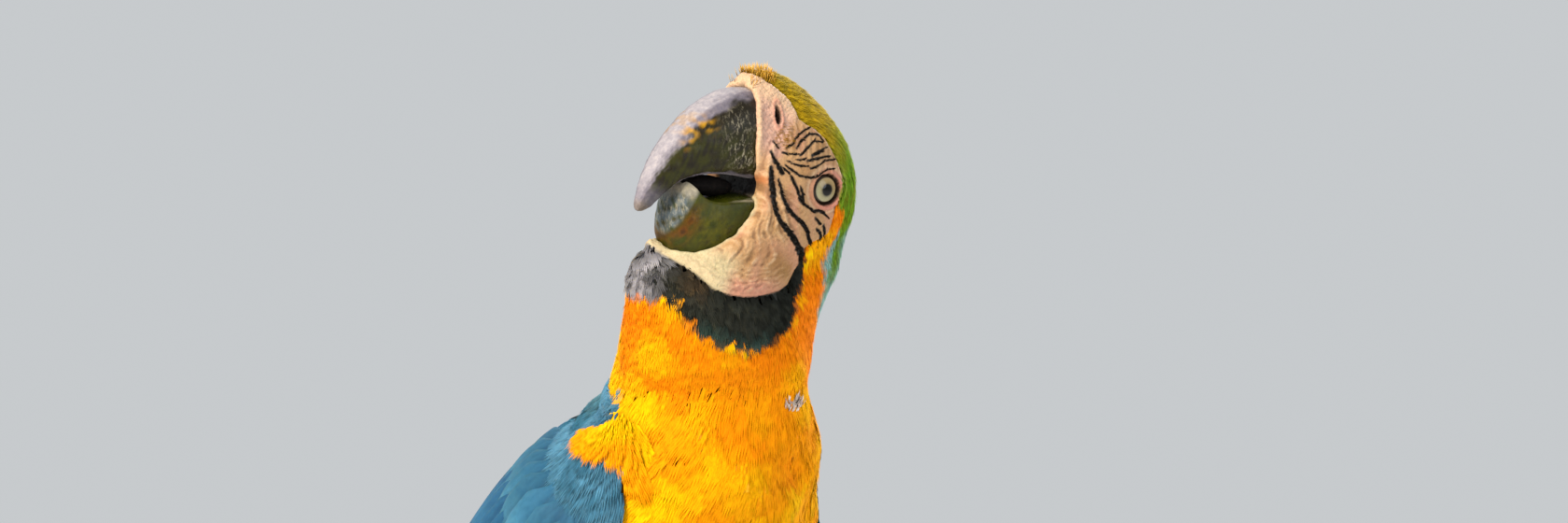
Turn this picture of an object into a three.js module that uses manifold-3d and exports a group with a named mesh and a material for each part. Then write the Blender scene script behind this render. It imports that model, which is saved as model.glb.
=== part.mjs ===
// A life-size blue-and-yellow macaw on a cut length of branch, held up by a plain display stand.
// Millimetres, +Z up. The origin is the centre of the stand's underside. Azimuth 0 looks along +Y.
import * as THREE from "three";
import { mergeVertices } from "three/addons/utils/BufferGeometryUtils.js";
import Module from "manifold-3d";

const wasm = await Module();
wasm.setup();

// ---------- driving dimensions ----------
const seam = 0.3; // clearance that touching pieces keep
const perchHeight = 400; // centre line of the branch above the floor
const perchRadius = 16;
const perchLength = 230;
const bodyHeading = 40; // degrees that the breast is turned from -Y towards +X
const headYaw = 42; // degrees that the bill is turned from -X towards -Y
const headPitch = 28.5; // bill raised
const headRoll = -9.8; // crown leaned to the bird's left
const eyeLine = [93, -93, 692.2]; // point midway between the eyes
const tailLength = 470; // longest tail feather past the rump

const rad = THREE.MathUtils.degToRad;
const lerp = THREE.MathUtils.lerp;
const vec = (x, y, z) => new THREE.Vector3(x, y, z);

// The body's frame: x forward, y to the bird's left, z up, with its origin on the branch's centre line.
const bodyMatrix = new THREE.Matrix4()
  .makeRotationZ(rad(bodyHeading - 90))
  .setPosition(0, 0, perchHeight);

// The head's frame: x along the bill, y to the bird's left, z to the crown.
function headFrame() {
  const forward = vec(-1, 0, 0).applyAxisAngle(vec(0, 0, 1), rad(headYaw));
  const left = vec(0, 0, 1).cross(forward);
  forward.applyAxisAngle(left, -rad(headPitch));
  const up = forward.clone().cross(left);
  left.applyAxisAngle(forward, rad(headRoll));
  up.applyAxisAngle(forward, rad(headRoll));
  return new THREE.Matrix4().makeBasis(forward, left, up).setPosition(...eyeLine);
}
const headMatrix = headFrame();
const headInBody = bodyMatrix.clone().invert().multiply(headMatrix);

// ---------- shape tools ----------
// A smooth run through rows of numbers: run(t)[k] is column k at t from 0 to 1.
function smoothRun(rows) {
  const width = rows[0].length;
  const curves = [];
  for (let k = 0; k < width; k += 3) {
    const points = rows.map((r) => vec(r[k], r[k + 1] ?? 0, r[k + 2] ?? 0));
    curves.push(new THREE.CatmullRomCurve3(points, false, "catmullrom", 0.5));
  }
  return (t) => curves.flatMap((c) => c.getPoint(THREE.MathUtils.clamp(t, 0, 1)).toArray());
}

// A round closed body: a cylinder whose every point at (t along, angle round, r out from the middle) is moved.
function loft(rings, sides, place) {
  const g = new THREE.CylinderGeometry(1, 1, 1, sides, rings);
  const p = g.attributes.position;
  for (let i = 0; i < p.count; i++) {
    const t = p.getY(i) + 0.5;
    const r = Math.hypot(p.getX(i), p.getZ(i));
    const q = place(t, Math.atan2(p.getX(i), p.getZ(i)), r);
    p.setXYZ(i, q.x, q.y, q.z);
  }
  return g;
}

// A thin sheet given thickness: place(s along, w across from -1 to 1, side) with side -1 below and 1 above.
// Both faces have the same triangles, so that they never cross where the sheet bends.
function thinSheet(along, across, place) {
  const columns = across + 1;
  const count = (along + 1) * columns;
  const points = [];
  for (const side of [1, -1])
    for (let i = 0; i <= along; i++)
      for (let j = 0; j < columns; j++) points.push(place(i / along, (2 * j) / across - 1, side));
  const at = (i, j) => i * columns + j;
  const index = [];
  for (let i = 0; i < along; i++)
    for (let j = 0; j < across; j++) {
      const [a, b, c, d] = [at(i, j), at(i, j + 1), at(i + 1, j + 1), at(i + 1, j)];
      index.push(a, b, c, a, c, d);
      index.push(count + a, count + c, count + b, count + a, count + d, count + c);
    }
  const rim = [];
  for (let j = 0; j < across; j++) rim.push(at(0, j));
  for (let i = 0; i < along; i++) rim.push(at(i, across));
  for (let j = across; j > 0; j--) rim.push(at(along, j));
  for (let i = along; i > 0; i--) rim.push(at(i, 0));
  rim.forEach((a, k) => {
    const b = rim[(k + 1) % rim.length];
    index.push(a, count + a, count + b, a, count + b, b);
  });
  const g = new THREE.BufferGeometry().setFromPoints(points);
  return g.setIndex(index);
}

// A closed geometry, moved by a matrix, as a solid. A mesh that comes out inside out is turned.
function solid(geometry, matrix) {
  const g = geometry.clone();
  g.deleteAttribute("normal");
  g.deleteAttribute("uv");
  if (matrix) g.applyMatrix4(matrix);
  const merged = mergeVertices(g, 1e-3);
  const mesh = (flip) => {
    const triVerts = new Uint32Array(merged.index.array);
    if (flip)
      for (let i = 0; i < triVerts.length; i += 3)
        [triVerts[i + 1], triVerts[i + 2]] = [triVerts[i + 2], triVerts[i + 1]];
    const made = new wasm.Mesh({ numProp: 3, vertProperties: merged.attributes.position.array, triVerts });
    return new wasm.Manifold(made);
  };
  const made = mesh(false);
  return made.volume() < 0 ? mesh(true) : made;
}

const joined = (solids) => solids.reduce((a, b) => a.add(b));

// The largest closed surface of a solid, which fills sealed hollows and drops loose scraps.
function largest(made) {
  const parts = made.decompose().sort((a, b) => b.volume() - a.volume());
  return parts[0];
}

function geometryOf(made) {
  const m = made.getMesh();
  const xyz = new Float32Array(m.numVert * 3);
  for (let i = 0; i < m.numVert; i++)
    xyz.set(m.vertProperties.subarray(i * m.numProp, i * m.numProp + 3), i * 3);
  const g = new THREE.BufferGeometry();
  g.setAttribute("position", new THREE.BufferAttribute(xyz, 3));
  return g.setIndex(new THREE.BufferAttribute(new Uint32Array(m.triVerts), 1));
}

// ---------- finishes ----------
const finish = (color, roughness, metalness = 0) =>
  new THREE.MeshStandardMaterial({ color, roughness, metalness });
const finishes = {
  yellow: finish(0xf5a300, 0.85),
  blue: finish(0x2f6f93, 0.7),
  face: finish(0xe6c9ab, 0.75),
  horn: finish(0x45443c, 0.45),
  eye: finish(0xc9c08f, 0.1),
  toe: finish(0x4a4a4c, 0.8),
  claw: finish(0x1d1c1c, 0.35),
  bark: finish(0x8a5a3c, 0.9),
  stand: finish(0xd9d6cf, 0.5),
};

const macaw = new THREE.Group();
macaw.name = "macaw";
const slack = 0.06; // how far a surface may move when its needless triangles are merged
function addNode(name, made, material) {
  const mesh = new THREE.Mesh(geometryOf(largest(made.simplify(slack))), material);
  mesh.name = name;
  macaw.add(mesh);
}

// ---------- body: lofted from the rump to the base of the neck ----------
// Rows: centre x y z, half-width, half-depth to the front, half-depth to the back.
const bodyRows = [
  [-60, 0, 30, 18, 14, 13],
  [-44, 0, 50, 27, 25, 22],
  [-14, 0, 79, 42, 42, 38],
  [24, 0, 112, 54, 57, 52],
  [60, 0, 148, 65, 67, 56],
  [88, 0, 184, 53, 51, 43],
  [101, -1, 208, 42, 42, 38],
  [110, -3, 224, 33, 33, 31],
  [115, -4, 234, 18, 18, 18],
];
const bodyRun = smoothRun(bodyRows);
const bodyEnd = bodyRows.length - 1;

// Front and left directions of the ring at t, square to the spine.
function ringFrame(run, t) {
  const step = 0.004;
  const a = run(t - step);
  const b = run(t + step);
  const along = vec(b[0] - a[0], b[1] - a[1], b[2] - a[2]).normalize();
  const left = vec(0, 1, 0);
  return { front: left.clone().cross(along).normalize(), left };
}

// A point of the body's skin. Angle 0 is the breast's middle line and 180 degrees the back's.
function bodyPoint(t, angle, r = 1, lift = 0) {
  const [x, y, z, wide, toFront, toBack] = bodyRun(t);
  const { front, left } = ringFrame(bodyRun, t);
  const deep = Math.cos(angle) > 0 ? toFront : toBack;
  return vec(x, y, z)
    .addScaledVector(front, r * (deep + lift) * Math.cos(angle))
    .addScaledVector(left, r * (wide + lift) * Math.sin(angle));
}

// ---------- neck: level rings in world millimetres, so that it turns without folding ----------
// Rows: centre x y, height, half-length, half-width, heading of the length in degrees from +X.
const neckRows = [
  [56, -64, 586, 30, 30, -60],
  [59.5, -74, 600, 41, 38, -80],
  [61.8, -83, 614, 44, 41, -100],
  [64.5, -92, 632, 47, 36, -125],
  [67.6, -98, 644, 50, 29, -136],
  [70, -101.5, 652.4, 51.5, 22.5, -143],
  [71.8, -102.5, 658, 51.5, 17, -147],
  [74.5, -102, 665.4, 50, 12, -150],
  [82.5, -97.5, 671.5, 42.5, 13, -150],
  [97, -89, 680, 26, 14.5, -148],
  [105.5, -84, 688, 14.5, 12, -140],
  [108, -82, 695, 7, 7, -138],
];
const neckRun = smoothRun(neckRows);
function neckPoint(t, angle, r, grow = 0) {
  const [x, y, z, long, wide, heading] = neckRun(t);
  const turn = angle - rad(heading);
  const reach = (long * wide) / Math.hypot(wide * Math.cos(turn), long * Math.sin(turn)) + grow;
  return vec(x + r * reach * Math.cos(angle), y + r * reach * Math.sin(angle), z);
}

// ---------- head ----------
// Rows along the head's x: x, top, bottom, half-width.
const headRows = [
  [-29.5, 6, -8, 5],
  [-26.5, 13, -18, 12],
  [-19, 20, -31, 18.5],
  [-10, 25.5, -46, 22.5],
  [1, 29.5, -60, 24.4],
  [11, 31.5, -66, 23.6],
  [20, 32.5, -65.5, 21],
  [28, 32, -60, 17.6],
  [36, 30, -54, 15.2],
  [43, 24.5, -50, 13],
];
const headRun = smoothRun(headRows.map((r) => [...r, 0, 0]));
const faceLevel = -5; // height of the head's widest line

// Half-width share at q from the widest line (0) to the top or bottom (1) of a rounded section.
const bulge = (q, power) => Math.pow(Math.max(0, 1 - Math.pow(Math.abs(q), power)), 1 / power);

function headPoint(t, angle, r = 1, lift = 0) {
  const [x, top, bottom, wide] = headRun(t);
  const up = Math.cos(angle);
  const q = Math.sin((angle > Math.PI / 2 ? Math.PI - angle : angle < -Math.PI / 2 ? -Math.PI - angle : angle));
  const rise = up > 0 ? top - faceLevel : faceLevel - bottom;
  const power = up > 0 ? 2.15 : 3.3;
  const height = Math.sign(up) * bulge(q, power) * (rise + lift);
  const side = q * (wide + lift);
  const middle = (top + bottom) / 2;
  const level = r > 0.5 ? faceLevel + height : middle;
  return vec(x + (t < 0.5 ? -lift : lift) * (r > 0.5 ? 0 : 1), r * side, level);
}

// Outline, in the head's x and z, of all that lies in front of the skin's edge round the bill.
const billLine = [
  [41.5, 20.5],
  [39, 9],
  [32.5, -3],
  [22.4, -13],
];
const jawLine = [
  [18.4, -22.5],
  [19.2, -33],
  [23, -43],
  [30, -51.2],
  [40.5, -54.4],
];
function billRegion(forward) {
  const edge = [...billLine, ...jawLine];
  const shape = new THREE.Shape();
  shape.moveTo(62 + forward, 60);
  for (const [x, z] of edge) shape.lineTo(x + forward, z);
  shape.lineTo(62 + forward, -62);
  shape.lineTo(110, -62);
  shape.lineTo(110, 60);
  const g = new THREE.ExtrudeGeometry(shape, { depth: 80, bevelEnabled: false, steps: 1 });
  g.rotateX(Math.PI / 2);
  g.translate(0, 40, 0);
  return solid(g, headMatrix);
}

const eyeballRadius = 9.5;
const eyeBack = -2.6; // eyeball's centre behind and below the head's origin
const eyeHeight = -1.2;
const eyeSide = 14.6; // eyeball's centre from the middle plane
const lidOpening = 6.3;
const eyeTurn = 7; // degrees that each eye looks forward
function eyeball(side, grow) {
  const g = new THREE.SphereGeometry(eyeballRadius + grow, 14, 8);
  g.translate(eyeBack, side * eyeSide, eyeHeight);
  return solid(g, headMatrix);
}
function eyeAxisMatrix(side) {
  return headMatrix
    .clone()
    .multiply(new THREE.Matrix4().makeTranslation(eyeBack, side * eyeSide, eyeHeight))
    .multiply(new THREE.Matrix4().makeRotationZ(-side * rad(eyeTurn)));
}
function eyeWell(side) {
  const g = new THREE.CylinderGeometry(lidOpening, lidOpening, 30, 16);
  g.translate(0, side * 20, 0);
  return solid(g, eyeAxisMatrix(side));
}
function eyelid(side) {
  const g = new THREE.TorusGeometry(lidOpening + 1.1, 1.5, 5, 16);
  g.rotateX(Math.PI / 2);
  g.translate(0, side * 8.6, 0);
  return solid(g, eyeAxisMatrix(side));
}

// The swollen cere round the bill's base, with a nostril in each side.
const nostril = { x: 30.5, z: 14.2, side: 11 };
function cerePad(side) {
  const g = new THREE.SphereGeometry(1, 12, 8);
  g.scale(9, 6, 10.5);
  g.translate(29, side * 7.2, 11.8);
  return solid(g, headMatrix);
}
function nostrilHole(side) {
  const g = new THREE.SphereGeometry(1, 8, 6);
  g.scale(1.5, 4.5, 3.9);
  g.rotateY(rad(-24));
  g.translate(nostril.x, side * (nostril.side + 3), nostril.z);
  return solid(g, headMatrix);
}
// The fold of bare skin that runs back from the corner of the mouth.
function gapeFold(side) {
  const g = new THREE.SphereGeometry(1, 8, 6);
  g.scale(6.5, 2.6, 2.6);
  g.rotateY(rad(24));
  g.translate(18.5, side * 18.6, -12.5);
  return solid(g, headMatrix);
}

function makeHead(grow) {
  let head = solid(loft(grow ? 11 : 14, grow ? 18 : 24, (t, a, r) => headPoint(t, a, r, grow)), headMatrix);
  if (grow > 0) return head;
  for (const side of [1, -1]) head = head.add(eyelid(side)).add(cerePad(side)).add(gapeFold(side));
  head = head.subtract(billRegion(0));
  for (const side of [1, -1])
    head = head.subtract(eyeWell(side)).subtract(eyeball(side, seam)).subtract(nostrilHole(side));
  return head;
}

// ---------- bill ----------
// Rows from the base to the tip: ridge x z, biting edge x z, half-width.
const upperRows = [
  [40.3, 18.6, 22.6, -12.2, 14.4],
  [48.6, 12.6, 32.5, -16, 14.2],
  [56, 1.5, 41, -20.5, 12.8],
  [60.8, -12.5, 47.6, -25.4, 10.5],
  [62.8, -26, 51.6, -31, 8],
  [62.2, -38, 53.8, -38.2, 5.2],
  [59.6, -48.8, 55.6, -46.6, 2.4],
];
const upperRun = smoothRun(upperRows.map((r) => [...r, 0]));
const billEndDrop = 1.6; // the tip's rounding past its last ring
function upperBillPoint(t, angle, r) {
  const [rx, rz, ex, ez, wide] = upperRun(t);
  const q = Math.cos(angle);
  const side = Math.sign(Math.sin(angle)) * wide * bulge(q, q > 0 ? 2.2 : 5);
  const middle = vec((rx + ex) / 2, 0, (rz + ez) / 2);
  if (r < 0.5) return t > 0.5 ? middle.add(vec(-0.6, 0, -billEndDrop)) : middle;
  return middle.add(vec(((rx - ex) / 2) * q, side, ((rz - ez) / 2) * q));
}

// Rows along the lower mandible: x, biting edge, underside, half-width.
const lowerRows = [
  [10, -18.5, -44, 12.5],
  [19, -18, -51, 14.8],
  [27, -22.5, -54, 15],
  [34, -27, -54.4, 13.9],
  [40, -30, -51.4, 12],
  [44, -30.4, -46.5, 10],
  [46.6, -29.8, -41, 8.2],
  [48.2, -29.2, -36.4, 6.8],
];
// The dark tongue, which shows in the open mouth.
const tongue = { x: 34.6, z: -23, length: 12.5, width: 6.5, height: 4.4, slope: 26 };
const lowerRun = smoothRun(lowerRows.map((r) => [...r, 0, 0]));
function lowerBillPoint(t, angle, r, grow = 0) {
  const [x, top, under, wide] = lowerRun(t);
  const up = Math.cos(angle);
  const level = top - 4;
  const height = up > 0 ? Math.pow(up, 0.5) * (top - level) : -Math.pow(-up, 0.85) * (level - under);
  const side = Math.sign(Math.sin(angle)) * Math.pow(Math.abs(Math.sin(angle)), 0.75) * (wide + grow);
  if (r < 0.5) return vec(x + (t > 0.5 ? 0.8 : 0), 0, (top + under) / 2);
  return vec(x, side, level + height + (up < 0 ? -grow : grow) * Math.abs(up));
}

function makeBill() {
  const region = billRegion(seam);
  const upper = solid(loft(14, 16, upperBillPoint), headMatrix).intersect(region);
  const lower = solid(loft(11, 16, (t, a, r) => lowerBillPoint(t, a, r)), headMatrix).intersect(region);
  const room = solid(loft(12, 16, (t, a, r) => lowerBillPoint(t, a, r, 0.8)), headMatrix);
  const g = new THREE.SphereGeometry(1, 8, 5);
  g.scale(tongue.length, tongue.width, tongue.height);
  g.rotateY(rad(tongue.slope));
  g.translate(tongue.x, 0, tongue.z);
  return { upper: upper.subtract(room), lower: lower.add(solid(g, headMatrix)) };
}

// ---------- feathers ----------
const vaneThickness = 0.55;
// Share of a vane's half-width at s from its sunk root to its rounded or pointed tip.
function vaneWidth(s, pointed) {
  const root = 0.5 + 0.5 * THREE.MathUtils.smoothstep(s, 0, 0.3);
  const tip = Math.pow(Math.max(0, 1 - Math.pow(s, pointed ? 2.4 : 4)), pointed ? 0.75 : 0.6);
  return root * Math.max(tip, 0.16);
}

// ---------- wings ----------
// The folded wing lies over these rings, from the shoulder to past the rump:
// centre x z, half-width, half-depth, angles of its lower and upper edges, thickness of its flesh.
const wingRows = [
  [95, 197, 44, 36, 88, 130, 2],
  [88, 186, 51, 39, 68, 150, 3.8],
  [76, 168, 60, 51, 53, 162, 5],
  [56, 144, 66, 60, 50, 168, 4.6],
  [24, 112, 62, 56, 60, 170, 3.4],
  [-14, 79, 51, 44, 72, 170, 1.6],
  [-45, 46, 39, 34, 86, 170, 1],
  [-78, -2, 29, 26, 94, 168, 1],
  [-107, -55, 26, 19, 98, 165, 1],
  [-135, -108, 22, 15, 98, 162, 1],
  [-161, -158, 18, 12, 98, 158, 1],
];
const wingRun = smoothRun(wingRows.map((r) => [r[0], 0, r[1], r[2], r[3], r[4], r[5], r[6], 0]));
const wingGap = 1; // between the wing's inner face and the body
const wingTuck = { left: 15, right: 4 }; // degrees that the breast's feathers hide of each wing's bend
// u runs from the shoulder (0) to the primaries' tips (1), v from the lower edge (0) to the upper edge (1).
function wingRing(u, v, side, lift) {
  const [x, , z, wide, deep, low, high] = wingRun(u);
  const { front, left } = ringFrame(wingRun, u);
  const tuck = (side > 0 ? wingTuck.left : wingTuck.right) * (1 - THREE.MathUtils.smoothstep(u, 0.3, 0.55));
  const angle = rad(lerp(low + tuck, high, v));
  const back = -Math.cos(angle);
  const out = side * Math.sin(angle);
  const outward = front.clone().multiplyScalar(back / deep).addScaledVector(left, out / wide);
  return vec(x, 0, z)
    .addScaledVector(front, deep * back)
    .addScaledVector(left, wide * out)
    .addScaledVector(outward.normalize(), wingGap + lift);
}
// The wing is straight from each of these u to the next, and every vane bends only there, so that vanes that
// lie over one another stay clear.
const wingBends = [0, 0.06, 0.12, 0.19, 0.27, 0.35, 0.43, 0.52, 0.62, 0.72, 0.82, 0.91, 1];
function onWing(u, v, side, lift) {
  const next = Math.max(1, wingBends.findIndex((bend) => bend >= u));
  const [a, b] = [wingBends[next - 1], wingBends[next]];
  return wingRing(a, v, side, lift).lerp(wingRing(b, v, side, lift), (u - a) / (b - a));
}
const bendsBetween = (u0, u1) => wingBends.filter((bend) => bend > u0 + 0.015 && bend < u1 - 0.015);
// Millimetres round the wing's ring at u from its lower edge to its upper one.
function wingSpan(u) {
  const [, , , wide, deep, low, high] = wingRun(u);
  return ((wide + deep) / 2) * rad(high - low);
}

const wingFleshEnd = 0.41;
function wingFlesh(side) {
  const stations = [0.012, ...bendsBetween(0.012, wingFleshEnd), wingFleshEnd];
  const along = stations.length - 1;
  return thinSheet(along, 4, (t, w, face) => {
    const rounded = Math.min(1, 0.6 + 2.5 * t) * Math.min(1, 0.3 + 2.5 * (1 - t));
    const v = 0.5 + 0.47 * w * rounded;
    const u = stations[Math.round(t * along)];
    const thick = Math.max(1, wingRun(u)[7] * Math.sqrt(1.04 - Math.pow(w, 4)));
    return onWing(u, v, side, face > 0 ? thick : 0);
  });
}

// A feather from (u0, v0) to (u1, v1) on the wing. Its short root rises steeply out of the flesh, from lift[0]
// to lift[1], and it ends at lift[2]. Its upper edge dips under the next one's lower edge.
const rootLength = 0.02;
function wingFeather(side, { from, to, halfWidth, lift, dip, pointed = false }) {
  const exit = from[0] + rootLength;
  const stations = [from[0], exit, ...bendsBetween(exit, to[0]), to[0]];
  const along = stations.length - 1;
  return thinSheet(along, 2, (t, w, face) => {
    const u = stations[Math.round(t * along)];
    const s = (u - from[0]) / (to[0] - from[0]);
    const half = halfWidth * vaneWidth(s * 0.98, pointed);
    const v = lerp(from[1], to[1], s) + (w * half) / wingSpan(u);
    const level = u < exit ? lift[0] : lerp(lift[1], lift[2], (u - exit) / (to[0] - exit));
    return onWing(u, v, side, level - dip * w + (face * vaneThickness) / 2);
  });
}

// Tiers from the shoulder down. Each gives the number of its feathers, and the measures of the one that lies
// at k from the lower edge (0) to the upper one (1), with stack as the added height of the next one's tip.
const wingTiers = [
  {
    name: "lesser coverts",
    count: 5,
    from: (k) => [0.035, lerp(0.16, 0.78, k)],
    to: (k) => [0.165, lerp(0.1, 0.88, k)],
    measures: { halfWidth: 12.5, lift: [0.6, 4.8, 9], dip: 0.8 },
  },
  {
    name: "median coverts",
    count: 5,
    from: (k) => [0.12, lerp(0.14, 0.84, k)],
    to: (k) => [0.265, lerp(0.09, 0.9, k)],
    measures: { halfWidth: 14, lift: [1.5, 6.4, 8.8], dip: 0.8 },
  },
  {
    name: "greater coverts",
    count: 6,
    from: (k) => [0.2, lerp(0.11, 0.87, k)],
    to: (k) => [lerp(0.4, 0.37, k), lerp(0.09, 0.92, k)],
    measures: { halfWidth: 12.5, lift: [1.5, 6.2, 7.6], dip: 0.8 },
  },
  {
    name: "secondaries",
    count: 5,
    from: (k) => [0.29, lerp(0.34, 0.88, k)],
    to: (k) => [lerp(0.7, 0.56, k), lerp(0.44, 0.84, k)],
    measures: { halfWidth: 12, lift: [1.5, 4.9, 5.2], dip: 0.8, stack: 0.7 },
  },
  {
    name: "primaries",
    count: 5,
    from: (k) => [0.33, lerp(0.12, 0.56, k)],
    to: (k) => [lerp(0.99, 0.74, k), lerp(0.4, 0.5, k)],
    measures: { halfWidth: 9.5, lift: [1.2, 1.3, 1.4], dip: 0.8, stack: 0.85, pointed: true },
  },
];
function makeWing(side) {
  const pieces = [wingFlesh(side)];
  for (const { count, from, to, measures } of wingTiers)
    for (let i = 0; i < count; i++) {
      const k = i / (count - 1);
      const [root, exit, tip] = measures.lift;
      const lift = [root, exit, tip + i * (measures.stack ?? 0)];
      pieces.push(wingFeather(side, { ...measures, lift, from: from(k), to: to(k) }));
    }
  return joined(pieces.map((g) => solid(g, bodyMatrix)));
}

// ---------- tail ----------
const tailRoot = vec(-52, 0, 40);
const tailPitch = 61; // degrees below the horizon
const tailAlong = vec(-Math.cos(rad(tailPitch)), 0, -Math.sin(rad(tailPitch)));
const tailBack = vec(-Math.sin(rad(tailPitch)), 0, Math.cos(rad(tailPitch)));
const tailPairs = 6;
const tailLayer = 1.1; // from one feather's middle to the next one's
const onTail = (along, across, up) =>
  tailRoot
    .clone()
    .addScaledVector(tailAlong, along)
    .addScaledVector(vec(0, 1, 0), across)
    .addScaledVector(tailBack, up);
function tailFlesh() {
  return loft(4, 12, (t, a, r) => {
    const wide = lerp(20, 13, t);
    const deep = lerp(13, 8, t) * Math.sqrt(1.02 - t * t);
    return onTail(t * 78 - 8, r * wide * Math.sin(a), r * deep * Math.cos(a) - 3 * t);
  });
}
// Pair 0 is the longest and lies on top, a little to each side; the outer pairs are shorter and lower.
function tailFeather(pair, side) {
  const length = tailLength * (1 - 0.135 * pair);
  const root = 12;
  const layer = 5.5 - tailLayer * (2 * pair + (side > 0 ? 0 : 1));
  return thinSheet(5, 2, (t, w, face) => {
    const s = [0, 0.25, 0.5, 0.75, 0.92, 1][Math.round(t * 5)];
    const along = root + (length - root) * s;
    const half = (13.5 - 0.7 * pair) * vaneWidth(s * 0.98, true);
    const fan = 3.6 + 1.5 * pair + along * (0.004 + 0.006 * pair);
    const camber = 0.09 * half * w * w;
    return onTail(along, side * fan + w * half, layer - camber + (face * vaneThickness) / 2);
  });
}
// Short feathers over and under the root of the tail.
function tailCovert(k, face0) {
  const y = 15 * (k - 0.5) * 2;
  return thinSheet(3, 2, (s, w, face) => {
    const along = -4 + (96 - 30 * Math.abs(k - 0.5)) * s;
    const half = 11 * vaneWidth(s * 0.98, false);
    const up = lerp(8.5, 8.4, s) + 0.9 * Math.sin(Math.PI * s) - Math.abs(k - 0.5) * 5;
    const tilt = -1.1 * w * Math.sign(0.5 - k + 1e-6);
    return onTail(along, y * (1 - 0.35 * s) + w * half, face0 * (up + tilt) + (face * vaneThickness) / 2 - (face0 < 0 ? 4.5 : 0));
  });
}
function makeTail() {
  const pieces = [tailFlesh()];
  for (let pair = 0; pair < tailPairs; pair++)
    for (const side of [1, -1]) pieces.push(tailFeather(pair, side));
  for (const k of [0.1, 0.5, 0.9]) pieces.push(tailCovert(k, 1));
  for (const k of [0.2, 0.8]) pieces.push(tailCovert(k, -1));
  return joined(pieces.map((g) => solid(g, bodyMatrix)));
}

// ---------- legs and feet ----------
const footSpacing = 31; // each foot's distance from the middle plane
const toeRadius = 4.6;
const toeRow = perchRadius + toeRadius + seam;
// A tube through points, in the body's frame, with a radius at each.
function tube(points, radii, rings, sides) {
  const curve = new THREE.CatmullRomCurve3(points.map((p) => vec(...p)));
  const size = smoothRun(radii.map((r) => [r, 0, 0]));
  return loft(rings, sides, (t, a, r) => {
    const along = curve.getTangent(t);
    const side = Math.abs(along.y) > 0.9 ? vec(1, 0, 0) : vec(0, 1, 0);
    const one = side.clone().cross(along).normalize();
    const two = along.clone().cross(one);
    return curve
      .getPoint(t)
      .addScaledVector(one, r * size(t)[0] * Math.cos(a))
      .addScaledVector(two, r * size(t)[0] * Math.sin(a));
  });
}
// Toes: start angle round the branch, end angle, sideways splay.
const toes = [
  { name: "outer_front", from: 84, to: -14, splay: 9 },
  { name: "inner_front", from: 84, to: 4, splay: -7 },
  { name: "outer_back", from: 96, to: 192, splay: 8 },
  { name: "inner_back", from: 96, to: 176, splay: -6 },
];
const clawTurn = 40; // degrees that a claw goes on round the branch
const aroundPerch = (angle, radius, y) =>
  [radius * Math.cos(rad(angle)), y, radius * Math.sin(rad(angle))];
function toePath(toe, side, steps) {
  const points = [];
  for (let i = 0; i <= steps; i++) {
    const s = i / steps;
    const y = side * (footSpacing + toe.splay * Math.pow(s, 0.7));
    points.push(aroundPerch(lerp(toe.from, toe.to, s), toeRow, y));
  }
  return points;
}
function makeFoot(side) {
  const hub = new THREE.SphereGeometry(1, 8, 5);
  hub.scale(7.5, 7.5, 5);
  hub.translate(0, side * footSpacing, perchRadius + 6);
  const shank = tube(
    [
      [-4, side * 30.5, 52],
      [-3, side * 31, 38],
      [0, side * footSpacing, perchRadius + 8],
    ],
    [5.8, 5.2, 5.8],
    4,
    9,
  );
  const pieces = [hub, shank];
  for (const toe of toes) pieces.push(tube(toePath(toe, side, 6), [5.2, 4.4, 4.8, 4, 4.3, 3.5, 3], 6, 7));
  const perchRoom = new THREE.CylinderGeometry(perchRadius + seam, perchRadius + seam, 200, 32);
  return joined(pieces.map((g) => solid(g, bodyMatrix))).subtract(solid(perchRoom, bodyMatrix));
}
function makeClaw(toe, side) {
  const turn = Math.sign(toe.to - toe.from);
  const y = side * (footSpacing + toe.splay);
  const start = toe.to + turn * 2;
  const points = [0, 0.35, 0.7, 1].map((s) =>
    aroundPerch(start + turn * clawTurn * s, toeRow + 0.6 - 1.6 * s * s + 1.2 * Math.sin(Math.PI * s), y),
  );
  return solid(tube(points, [2.9, 2.4, 1.5, 0.45], 4, 7), bodyMatrix);
}
function makeLeg(side) {
  const g = tube(
    [
      [8, side * 27, 104],
      [8, side * 29, 84],
      [2, side * 30.5, 64],
      [-4, side * 30.5, 48],
    ],
    [20, 19, 13.5, 7.2],
    10,
    18,
  );
  return solid(g, bodyMatrix);
}

// ---------- branch and stand ----------
function perchPoint(t, a, r) {
  const y = (t - 0.5) * perchLength;
  const away = Math.max(0, Math.abs(y) - 52) / 60;
  const swell = 1 + away * (0.06 + 0.05 * Math.sin(3 * a + (y > 0 ? 1 : 2.5)));
  const radius = r * perchRadius * swell;
  return vec(radius * Math.sin(a), y, radius * Math.cos(a) - 3 * away * away);
}
function perchStub() {
  return tube(
    [
      [4, -84, 6],
      [13, -88, 17],
      [19, -93, 31],
    ],
    [9, 7.5, 6.4],
    5,
    12,
  );
}
const standRadius = 150;
const standThick = 18;
const rodRadius = 8;
function makeStand() {
  const bevel = 4;
  const disc = new THREE.LatheGeometry(
    [
      [0, 0],
      [standRadius - 1, 0],
      [standRadius, 1],
      [standRadius, standThick - bevel],
      [standRadius - bevel, standThick],
      [0, standThick],
    ].map(([x, y]) => new THREE.Vector2(x, y)),
    36,
  );
  disc.rotateX(Math.PI / 2);
  const rodLength = perchHeight - standThick - seam;
  const rod = new THREE.CylinderGeometry(rodRadius, rodRadius, rodLength, 24);
  rod.rotateX(Math.PI / 2);
  rod.translate(0, 0, standThick + seam + rodLength / 2);
  const room = new THREE.CylinderGeometry(perchRadius + seam, perchRadius + seam, 90, 32);
  return { disc: solid(disc), rod: solid(rod).subtract(solid(room, bodyMatrix)) };
}

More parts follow.
